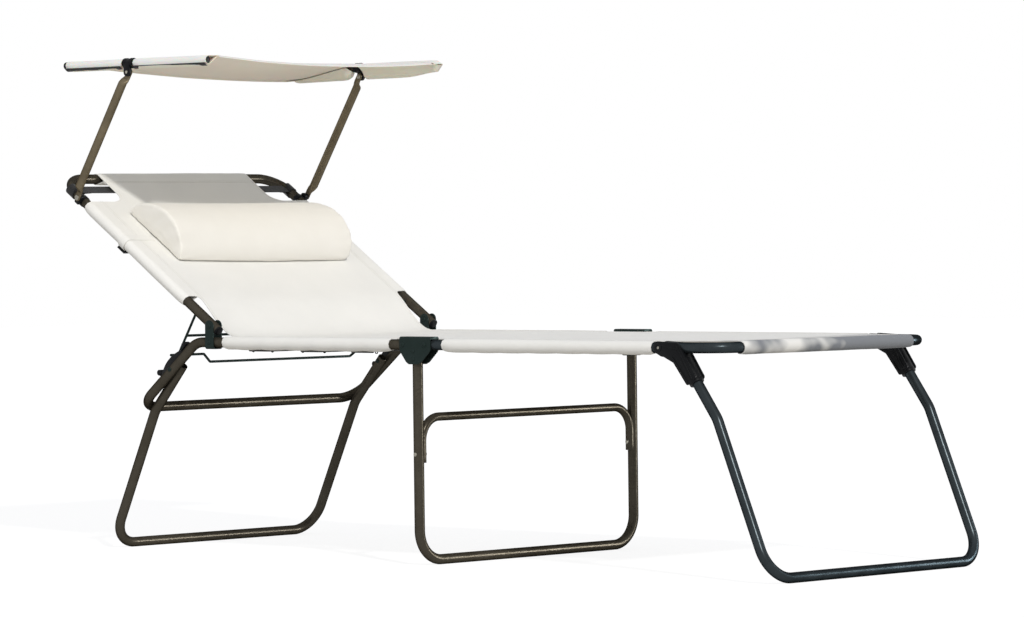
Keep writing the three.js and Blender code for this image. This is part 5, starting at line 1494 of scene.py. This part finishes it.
@dataclass
class Pillow:
    """A D-shaped bolster on the back cover, its cloth swollen by pressure between its seams."""

    cover: SeatBackCover
    half: float = 259.0
    lean: float = 13.0  # how much further out its ends are at the top
    start: float = 236.0
    skew: float = 5.0  # how much further down its left end lies, and its right end up, at the lower edge
    crown: float = 320.0
    end: float = 430.0
    height: float = 80.0
    plump: float = 5.0  # how much smaller the form starts than the swollen cushion
    tuck: float = 6.0  # how far its two lower edges turn in,
    tuck_rise: float = 9.0  # below this height
    end_in: float = 2.0  # how far its end seams lie inside its half length
    seat_gap: float = 1.2
    voxel: float = 5.0
    end_hold: float = 9.0  # how far the end seams hold the cloth, fading
    low_hold: float = 8.0  # and the lower ones
    pressure: float = 4.0
    frames: int = 20  # of the Cloth run
    cap: float = 9.0  # furthest that it may swell
    sharp: float = 60.0  # degrees above which its seams stay sharp
    strap_along: float = 335.0
    strap_width: float = 20.0

    def outline(self, grow: float = 0.0) -> list[Point]:
        """Points (s, rise) of the D, from its lower end over the dome to its upper end."""
        points = []
        for a in spread(180, 0, 44):
            c, q = math.cos(math.radians(a)), math.sin(math.radians(a))
            run = (self.end if c > 0 else self.start) - self.crown
            boxy = 1.14 if c > 0 else 1.0
            points.append((self.crown + (run + math.copysign(grow, c)) * abs(c) ** boxy,
                           (self.height + grow) * q ** boxy))
        return [(s + math.copysign(self.tuck, self.crown - s) * max(0.0, 1 - rise / self.tuck_rise) ** 2, rise)
                for s, rise in points]

    def reach(self, rise: float) -> float:
        """Half its length at a height."""
        return self.half + self.lean * (max(0.0, rise) / self.height) ** 0.7

    def point(self, x: float, s: float, rise: float) -> Vector:
        """A point over the back cover."""
        low = max(0.0, min(1.0, (self.end - s) / (self.end - self.start)))
        s -= self.skew * x / self.half * low
        return self.cover.surface(x, s + self.cover.shift, self.seat_gap + rise)

    def _start_form(self) -> bpy.types.Object:
        """The unswollen bolster, slightly too small."""
        ring = self.outline(-self.plump)
        base = [(s, 0.0) for s in spread(ring[-1][0], ring[0][0], 30)[1:-1]]
        loop = ring + base + ring[:1]
        draft = Draft().grid([[self.point(u * (self.reach(rise) - self.end_in), s, rise) for s, rise in loop]
                              for u in spread(-1.0, 1.0, 60)])
        for sign in SIDES.values():
            inner = [[self.point(sign * (self.reach(rise * t) - self.end_in), self.crown + (s - self.crown) * t,
                                 rise * t + 20 * (1 - t)) for s, rise in loop]
                     for t in (1.0, 0.8, 0.6, 0.4, 0.2, 0.03)]
            draft.grid(inner).cap(inner[-1][:-1])
        return draft.piece("pillow_cloth")

    def _hold_seams(self, obj: bpy.types.Object) -> None:
        """Marks what the seams hold: both end rings and both lower edges."""
        seams = obj.vertex_groups.new(name="seams")
        ring = self.outline(-self.plump)
        ends = [self.point(sign * (self.reach(rise) - self.end_in), s, rise) for sign in (-1, 1) for s, rise in ring]
        for v in obj.data.vertices:
            near = min((v.co - p).length for p in ends) / MM
            low = min((v.co - self.point(v.co.x / MM, s, 0.0)).length for s in (ring[0][0], ring[-1][0])) / MM
            hold = max(1 - near / self.end_hold, 1 - low / self.low_hold)
            if hold > 0:
                seams.add([v.index], min(1.0, hold * 1.6), "REPLACE")

    def _blow_up(self, obj: bpy.types.Object) -> None:
        """Runs Cloth under pressure, held along the seams."""
        cloth = obj.modifiers.new("cloth", "CLOTH")
        given = cloth.settings
        given.quality, given.mass = 6, 0.35
        given.tension_stiffness = given.compression_stiffness = 22.0
        given.shear_stiffness, given.bending_stiffness = 8.0, 0.4
        given.use_pressure, given.uniform_pressure_force = True, self.pressure
        given.vertex_group_mass, given.pin_stiffness = "seams", 3.0
        given.effector_weights.gravity = 0.0
        cloth.collision_settings.use_collision = False
        cloth.point_cache.frame_start, cloth.point_cache.frame_end = 1, self.frames
        for frame in range(1, self.frames + 1):
            bpy.context.scene.frame_set(frame)
        settle(obj, self.sharp)
        bpy.context.scene.frame_set(1)

    def _swell(self, obj: bpy.types.Object) -> None:
        """Remeshes the form, blows it up, keeps it near its form and over the back cover, and gathers its ends."""
        mesher = obj.modifiers.new("voxels", "REMESH")
        mesher.mode, mesher.voxel_size = "VOXEL", self.voxel * MM
        settle(obj, self.sharp)
        rest = [v.co.copy() for v in obj.data.vertices]
        self._hold_seams(obj)
        self._blow_up(obj)
        for v, was in zip(obj.data.vertices, rest):
            move = v.co - was
            if move.length > self.cap * MM:
                v.co = was + move.normalized() * (self.cap * MM)
            v.co += v.normal * (self._puckers(v.co) * MM)
            s, n = self._local(v.co)
            floor = self._local(self.point(v.co.x / MM, s, 0.0))[1]
            if n < floor:
                v.co += BACK.off(floor - n)
        finer = obj.modifiers.new("finer", "SUBSURF")
        finer.levels = finer.render_levels = 1
        settle(obj, self.sharp)

    @staticmethod
    def _local(point: Vector) -> tuple[float, float]:
        """A point's s and n on the back, in millimetres."""
        y, z = point.y / MM - FRAME_SHIFT - BACK.y, point.z / MM - BACK.z
        c, q = math.cos(math.radians(BACK.tilt)), math.sin(math.radians(BACK.tilt))
        return y * c + z * q, z * c - y * q

    def _puckers(self, point: Vector) -> float:
        """Small gathers that fade away from the end seams, and soft dents."""
        off = self.half + self.lean - abs(point.x / MM)
        near = math.exp(-max(0.0, off) / 22.0)
        s, n = self._local(point)
        return (1.1 * near * math.sin(s / 7.0 + n / 9.0 + 0.6 * math.sin(s / 13.0))
                + 1.3 * noise.noise(Vector((point.x * 6, s * 0.008, n * 0.011))))

    def build(self) -> None:
        """Makes the pillow, its seams and its bands."""
        body = self._start_form()
        self._swell(body)
        place(body, "back_rest", [PILLOW_FABRIC], ["pillow"])
        self._bands()

    def _bands(self) -> None:
        """White elastic bands from the pillow round the rails, each with a ribbed clip under the rail."""
        for side, sign in SIDES.items():
            line: list[Point] = [(sign * (self.half - 3), 9.8), (sign * (self.half + 6), 11.1), (sign * 290, 12.6)]
            line += [(sign * (RAIL_X + d), n) for d, n in [(-28, 13.1), (-14, 13.8)]]
            line += [(sign * (RAIL_X + 16.2 * math.cos(math.radians(a))), 16.0 * math.sin(math.radians(a)) - 0.9)
                     for a in spread(78, -100, 20)]
            band = ribbon(BACK, line, self.strap_along, self.strap_width)
            place(band.piece(f"pillow_band_{side}", BACK.off(1), 1.1), "back_rest",
                  [WHITE_ELASTIC], [f"pillow_strap_{side}"])
            clip = Draft()
            low, high = self.strap_along - 12, self.strap_along + 12
            clip.block(BACK, (sign * RAIL_X - 9, low, -20.6), (sign * RAIL_X + 9, high, -15.6))
            for k in range(5):
                x = sign * RAIL_X - 8 + 4 * k
                clip.tube([BACK.at(x, low - 0.5, -20.3), BACK.at(x, high + 0.5, -20.3)], 1.2, 10,
                          (End.ROUND, End.ROUND))
            place(clip.piece(f"pillow_clip_{side}", bevel=0.8), "back_rest", [BLACK_PLASTIC])


# Sunshade


@dataclass
class CanopyGear:
    """Arms, clamps, bolts and tubes of the sunshade."""

    kit: NodeKit
    arm_x: float = 358.85  # of its flat ends; the tube between them stands further out
    arm_radius: float = 9.5
    tab: Point = (2.0, 8.0)  # half thickness and half width of its flat ends
    taper: tuple[float, float] = (12.0, 30.0)  # where a flat end widens to the tube
    tube_radius: float = 8.0
    ends: tuple[float, float] = (-249.0, 210.0)
    low_hoop: Point = (6.0, 12.4)  # half length and radius of the clamp on the back rail
    low_lug_x: float = 356.4
    hoops: tuple[float, float] = (8.6, 14.4)  # half lengths of the left and the right clamp on the canopy tubes
    hoop_radius: float = 10.6
    rib_radius: float = 11.6
    lug_x: tuple[float, float] = (361.3, 369.0)
    lug_radius: float = 9.5

    def build(self) -> None:
        """Makes and places the gear of both sides."""
        bolts: dict[str, list[tuple[Vector, Vector, float]]] = {"back_rest": [], "canopy": []}
        for side, sign in SIDES.items():
            out = Vector((sign, 0, 0))
            # The arms take the coat painted paler as a painted reflection.
            place(self._arm(sign).piece(f"canopy_arm_tube_{side}"), "canopy_arms", [ARM_PAINTED_REFLECTION_LACQUER],
                  [f"canopy_arm_{side}"])
            place(self._foot_clamp(sign).piece(f"canopy_foot_clamp_moulding_{side}", bevel=0.8), "back_rest",
                  [BLACK_PLASTIC], [f"canopy_foot_clamp_{side}"])
            place(self._top_clamp(sign).piece(f"canopy_clamp_moulding_{side}", bevel=0.8), "canopy",
                  [BLACK_PLASTIC], [f"canopy_clamp_{side}"])
            bolts["back_rest"].append((BACK.at(sign * 361.0, *ARM_FOOT), out, 1.0))
            bolts["canopy"] += [(CANOPY.at(sign * self.lug_x[1], 0, 0), out, 0.6),
                                (CANOPY.at(sign * 356.5, 0, 0), -out, 0.95)]
            tube = [CANOPY.at(sign * SHADE_X, s, SHADE_RISE) for s in spread(*self.ends, 6)]
            place(Draft().tube(tube, self.tube_radius, 24).piece(f"canopy_side_tube_{side}"), "canopy",
                  [FRAME_LACQUER], [f"canopy_tube_{side}"])
            caps = Draft()
            for end, way in zip(self.ends, (-1, 1)):
                foot = CANOPY.at(sign * SHADE_X, end, SHADE_RISE)
                caps.lathe([(8.3, -3.0), (8.5, -2.0), (8.5, 2.6), (7.8, 3.6), (6.4, 4.0), (2.0, 4.2)], foot,
                           Vector((0, way, 0)), 24)
            place(caps.piece(f"canopy_end_caps_{side}"), "canopy", [BLACK_PLASTIC],
                  [f"canopy_cap_foot_{side}", f"canopy_cap_head_{side}"])
        for body, spots in bolts.items():
            nodes = both("canopy_foot_bolt") if body == "back_rest" else []
            place(self.kit.fasten(f"{body}_canopy_bolts", spots, RIVET_HEAD, BRIGHT_STEEL), body, [BRIGHT_STEEL],
                  nodes)

    def _arm(self, sign: int) -> Draft:
        """An arm: round tube, its ends flattened against its inner side and rounded off."""
        thin, wide = self.tab
        half = [(-8 + 8 * (1 - math.cos(math.radians(a))), thin, max(0.6, wide * math.sin(math.radians(a))))
                for a in (4, 20, 40, 60, 90)]
        half += [(s, thin, wide) for s in (4, 10)]
        for s in spread(*self.taper, 8):
            t = ease(s, *self.taper)
            half.append((s, thin + (self.arm_radius - thin) * t, wide + (self.arm_radius - wide) * t
                         + 1.3 * math.sin(math.pi * min(1.0, t * 1.1))))
        stations = half + [(120, self.arm_radius, self.arm_radius), (218, self.arm_radius, self.arm_radius)]
        stations += [(ARM_LENGTH - s, a, b) for s, a, b in half[::-1]]
        rows: Rows = []
        for s, thick, width in stations:
            flat = 0.55 if thick < 3 else 1.0
            mid = sign * (self.arm_x + thick - thin)
            rows.append([ARM.at(mid + thick * math.copysign(abs(math.cos(t)) ** flat, math.cos(t)), s,
                                width * math.copysign(abs(math.sin(t)) ** flat, math.sin(t))) for t in turns(28)])
        return Draft().grid(rows).cap(rows[0][:-1]).cap(rows[-1][:-1])

    def _foot_clamp(self, sign: int) -> Draft:
        """The clamp on the back rail: a thin hoop, and a lug for the arm."""
        x, (mid, high) = sign * RAIL_X, ARM_FOOT
        end, radius = self.low_hoop
        draft = Draft().tube([BACK.at(x, mid + d, 0) for d in (-end, 0, end)], radius, 32)
        lug = rounded([(mid - 7.5, -6.0, 3), (mid + 7.5, -6.0, 3), (mid + 7.5, high + 7.5, 6),
                       (mid - 7.5, high + 7.5, 6)])
        return draft.plate(BACK, lug, *sorted((x + sign * 9, sign * self.low_lug_x)))

    def _top_clamp(self, sign: int) -> Draft:
        """The clamp on the canopy tube: a hoop with ribs, shorter under the left sleeve, and a lug for the bolt."""
        x = sign * SHADE_X
        end = self.hoops[sign < 0]
        draft = Draft().tube([CANOPY.at(x, d, SHADE_RISE) for d in (-end, 0, end)], self.hoop_radius, 28)
        for d in (1.0 - end, -end / 2, end / 2, end - 1.0):
            draft.tube([CANOPY.at(x, d + step, SHADE_RISE) for step in (-0.9, 0.9)], self.rib_radius, 28)
        round_end = arc((0, 0), self.lug_radius, 0, -180, 16)
        lug = [(self.lug_radius, SHADE_RISE), *round_end, (-self.lug_radius, SHADE_RISE)]
        return draft.plate(CANOPY, lug, *sorted(sign * edge for edge in self.lug_x))


@dataclass
class CanopyCover(Fabric):
    """The sunshade's sheet between two slack sleeves, cut out at the clamps."""

    sag: float = 8.0
    seam_x: float = 332.0
    loop: float = 9.6  # radius of a sleeve over its tube
    far_slack: tuple[float, float] = (10.0, 15.0)  # how much lower the left sleeve hangs, at its foot and head ends
    drops: tuple[tuple[float, float], ...] = ((0.0, 4.0), (2.0, 32.0))  # the seams' drop: right, then left
    dip: tuple[float, float] = (4.0, 60.0)  # drop of the left seam at its foot end, and how far along it fades
    far_ends: tuple[float, float] = (-264.0, 217.0)  # the left sleeve covers the tube's ends and is sewn shut
    seal_level: float = 12.0
    fillet: float = 8.0
    ends: tuple[float, float] = (-255.8, 205.2)
    gap: float = 19.0
    hem: float = 9.0
    dark_band_radius: float = 13.6  # radius of the dark band under the right sleeve, along its lower edge
    # The sleeves' inboard halves take the underside's beige as painted shade.
    inboard_mark: int = 1

    def way(self, key: float) -> Axes:
        """The sheet's top at the tubes."""
        return CANOPY.child(key, SHADE_RISE + self.loop, 0.0)

    def rail(self, key: float) -> Axes:
        """The tubes."""
        return CANOPY.child(key, SHADE_RISE, 0.0)

    def surface(self, x: float, key: float, lift: float = 0.0) -> Vector:
        """A point of the sheet's top; its free hems hang a little lower."""
        foot, head = self.ends
        run = abs(x)
        near, far = (self.hang(sign, key)[1] for sign in (-1, 1))
        if run > self.seam_x:
            return self.way(key).at(x, 0.0, lift + self.over(run - SHADE_X, far if x > 0 else near))
        share = x / self.seam_x
        fall = near + (far - near) * (1 + share) / 2
        over = max(0.0, foot - key, key - head)
        edge = 4.0 * ease(key, foot + 90, foot)
        return self.way(key).at(x, 0.0, lift - fall - (self.sag + edge) * (1 - share ** 2) - 0.05 * over * over)

    def half(self, key: float) -> float:
        """Half width of the sheet between its seams."""
        return self.seam_x

    def over(self, d: float, drop: float) -> float:
        """Level of a sleeve's top at d from the tube, down to its seam: straight, then round the tube."""
        seam = Vector((self.seam_x - SHADE_X, self.loop - drop))
        turn = math.atan2(-seam.y, -seam.x) + math.pi - math.acos(self.loop / seam.length)
        touch = self.loop * Vector((math.cos(turn), math.sin(turn)))
        if d < touch.x:
            return seam.y + (touch.y - seam.y) * (d - seam.x) / (touch.x - seam.x) - self.loop
        return math.sqrt(max(0.0, self.loop ** 2 - d * d)) - self.loop

    def hang(self, sign: int, key: float) -> tuple[float, float]:
        """The left sleeve hangs lower, most of all towards its head end."""
        foot, head = self.ends
        t = min(1.0, max(0.0, (key - foot) / (head - foot)))
        low, high = self.drops[sign > 0]
        if sign < 0:
            return 0.0, low + (high - low) * t
        dip, run = self.dip
        drop = low + (high - low) * ease(t, 0.45, 1.0) + dip * ease(key, foot + run, foot)
        slack = self.far_slack[0] + (self.far_slack[1] - self.far_slack[0]) * t
        if key > 0:
            slack *= 0.4 + 0.6 * ease(key, 17, 45)  # room for the tilted arm
        return slack * (0.15 + 0.85 * ease(key, foot, foot + 100)), drop

    def seal(self, point: Vector, sign: int, key: float) -> Vector:
        """Flattens the left sleeve's ends."""
        foot, head = self.far_ends
        flat = max(ease(key, foot + 10, foot), ease(key, head - 12, head)) if sign > 0 else 0.0
        level = CANOPY.at(0, 0, self.seal_level if key > 0 else SHADE_RISE).z
        flat *= 0.85 * ease(abs(point.x) / MM, self.seam_x, self.seam_x + 8)
        return Vector((point.x, point.y, point.z + (level - point.z) * flat))

    def build(self) -> None:
        """Makes the sheet and its stitches."""
        foot, head = self.ends
        first = spread(foot, -self.gap + self.fillet, 22)
        second = spread(self.gap - self.fillet, head, 20)
        draft, lines = Draft(), []
        for keys in (spread(foot - self.hem, foot, 3), first, [first[-1], second[0]], second,
                     spread(head, head + self.hem, 3)):
            self.panel(draft, keys, self.half)
        reach = SHADE_X - self.seam_x
        for sign, slack, pucker, (low, high) in ((-1, 4.5, 14.0, self.ends), (1, 5.5, 1.0, self.far_ends)):
            pocket = Pocket(SHADE_X, reach, 9.7, slack, turn=214.0, tail=7.0, pucker=pucker)
            self.sleeve(draft, pocket, sign, first, (low, -self.gap), (False, True))
            self.sleeve(draft, pocket, sign, second, (self.gap, high), (True, False))
            lines += [self.line(sign * (self.seam_x + d), keys) for d in self.seam_rows for keys in (first, second)]
        lines += [self.cross(key, self.seam_x - 4) for key in (foot - self.hem + 3, foot + 4, head - 4,
                                                                head + self.hem - 3)]
        # The sheet's underside takes the beige of painted warm light.
        sheet = place(draft.piece("canopy_canvas", UP, 1.0, stir=self.stir, second_inner_face=True), "canopy",
                      [CANOPY_TOP, CANOPY_UNDER_PAINTED_LIGHT], ["canopy_cover"])
        seams = place(self.kit.sew("canopy_stitching", lines), "canopy", [THREAD])
        # A dark band along the right sleeve's lower edge.
        dark_band, turn = Draft(), [math.radians(a) for a in spread(-28, -78, 8)]
        section = [(-SHADE_X - self.dark_band_radius * math.cos(t), SHADE_RISE + self.dark_band_radius * math.sin(t)) for t in turn]
        for low, high in ((foot + 1, -self.gap - 1), (self.gap + 1, head - 1)):
            dark_band.grid([[CANOPY.at(x, key, n) for key in spread(low, high, 12)] for x, n in section])
        place(dark_band.piece("canopy_edge_binding", Vector((-1, 0, 0)), 0.8), "canopy", [BLACK_WEBBING])


# Stage


@dataclass
class Studio:
    """Camera at the photograph's place, a pale floor and soft light."""

    place: Point = (-7.66240, -7.30784, 0.717811)
    azimuth: float = -46.5025
    pitch: float = 0.9905
    roll: float = 0.69599
    lens: float = 171.87
    sun_travel: Point = (0.64, 1.345, -1.0)
    sun_strength: float = 1.88
    sun_width: float = 3.0  # degrees that it takes up in the sky
    sun_colour: Point = (1.0, 0.975, 0.94)
    sky_colour: str = "#f4f7ff"
    ambient: float = 0.53
    strip: Point = (0.5, 1.4)  # size in metres of the upright soft light at the picture's right
    strip_place: Point = (3.24, -2.9, 0.75)
    strip_power: float = 130.0
    fill: Point = (2.4, 2.4)  # the broad soft light at the picture's left
    fill_place: Point = (-5.2, -0.4, 1.0)
    fill_power: float = 55.0
    floor_size: float = 40.0
    floor_lit: str = "#bdb9b1"  # the floor's colour in the light that it throws back
    floor_shade: float = 0.22  # share of the floor that the camera sees in light and shadow,
    floor_glow: float = 0.86  # and its own white

    def camera(self) -> None:
        """Makes the camera."""
        data = bpy.data.cameras.new("photo_camera")
        data.lens, data.sensor_width = self.lens, 36.0
        obj = stand("photo_camera", data)
        a, p, r = (math.radians(v) for v in (self.azimuth, self.pitch, self.roll))
        ahead = Vector((-math.sin(a) * math.cos(p), math.cos(a) * math.cos(p), -math.sin(p)))
        right = Vector((math.cos(a), math.sin(a), 0.0))
        down = ahead.cross(right)
        right, down = (math.cos(r) * right + math.sin(r) * down, math.cos(r) * down - math.sin(r) * right)
        turn = Matrix((right, -down, -ahead)).transposed().to_4x4()
        obj.matrix_world = Matrix.Translation(Vector(self.place)) @ turn
        bpy.context.scene.camera = obj

    @staticmethod
    def _white_to_camera(tree: Tree, lit: Socket, shown: Socket, output: Socket) -> None:
        """Shows the camera, mirrors and glass one shader, and everything else the lit one."""
        path = add_node(tree, "ShaderNodeLightPath")
        sees = [path.outputs[n] for n in ("Is Camera Ray", "Is Glossy Ray", "Is Transmission Ray")]
        any_of = calc(tree, "MAXIMUM", calc(tree, "MAXIMUM", *sees[:2]), sees[2])
        mix = add_node(tree, "ShaderNodeMixShader", links={0: any_of, 1: lit, 2: shown})
        tree.links.new(mix.outputs[0], output)

    def light(self) -> None:
        """Makes the soft sky, the sun, two soft lights and the floor."""
        scene = bpy.context.scene
        scene.view_settings.view_transform = "Standard"
        world = bpy.data.worlds.new("studio")
        scene.world = world
        world.use_nodes = True
        tree = world.node_tree
        tree.nodes.clear()
        sky = add_node(tree, "ShaderNodeBackground", {"Color": linear(self.sky_colour), "Strength": self.ambient})
        output = add_node(tree, "ShaderNodeOutputWorld")
        white = add_node(tree, "ShaderNodeBackground", {"Color": (1, 1, 1, 1), "Strength": 1.0})
        self._white_to_camera(tree, sky.outputs[0], white.outputs[0], output.inputs["Surface"])
        sun = bpy.data.lights.new("sun", "SUN")
        sun.energy, sun.angle, sun.color = self.sun_strength, math.radians(self.sun_width), self.sun_colour
        stand("sun", sun).rotation_euler = Vector(self.sun_travel).to_track_quat("-Z", "Y").to_euler()
        for name, size, spot, power in (("strip", self.strip, self.strip_place, self.strip_power),
                                        ("fill", self.fill, self.fill_place, self.fill_power)):
            soft = bpy.data.lights.new(name, "AREA")
            soft.shape, soft.size, soft.size_y, soft.energy = "RECTANGLE", *size, power
            panel = stand(name, soft)
            panel.location = spot
            panel.rotation_euler = Vector((-spot[0], -spot[1], 0)).to_track_quat("-Z", "Y").to_euler()
            panel.visible_camera = False
            panel.visible_glossy = name == "strip"  # it draws the lines along the tubes
            panel.visible_diffuse = name == "fill"
        self.floor()

    def floor(self) -> None:
        """Makes the pale floor, which keeps a faint shadow."""
        half = self.floor_size / 2
        draft = Draft().grid([[Vector((x, y, 0.0)) for x in spread(-half, half, 4)] for y in spread(-half, half, 4)])
        obj = stand("floor", draft.mesh("floor", UP))
        made = bpy.data.materials.new("pale_studio_floor")
        made.use_nodes = True
        tree = made.node_tree
        tree.nodes.clear()
        matt = add_node(tree, "ShaderNodeBsdfDiffuse", {"Color": linear(self.floor_lit)})
        shade = add_node(tree, "ShaderNodeBsdfDiffuse", {"Color": (*[self.floor_shade] * 3, 1)})
        glow = add_node(tree, "ShaderNodeEmission", {"Strength": self.floor_glow})
        shown = add_node(tree, "ShaderNodeAddShader", links={0: shade.outputs[0], 1: glow.outputs[0]})
        output = add_node(tree, "ShaderNodeOutputMaterial")
        self._white_to_camera(tree, matt.outputs[0], shown.outputs[0], output.inputs["Surface"])
        obj.data.materials.append(made)


def main() -> None:
    """Builds the lounger piece by piece."""
    logging.basicConfig(level=logging.INFO, format="%(name)s: %(message)s")
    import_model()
    studio = Studio()
    studio.camera()
    kit = NodeKit()
    TubeFrame().build()
    PressedBrackets().build()
    Fasteners(kit).build()
    PropGear().build()
    LegSockets().build()
    cover = SeatBackCover(kit)
    cover.build()
    FootCover(kit).build()
    BedLacing().build()
    BackStrap().build()
    Pillow(cover).build()
    CanopyGear(kit).build()
    CanopyCover(kit).build()
    studio.light()


if __name__ == "__main__":
    main()
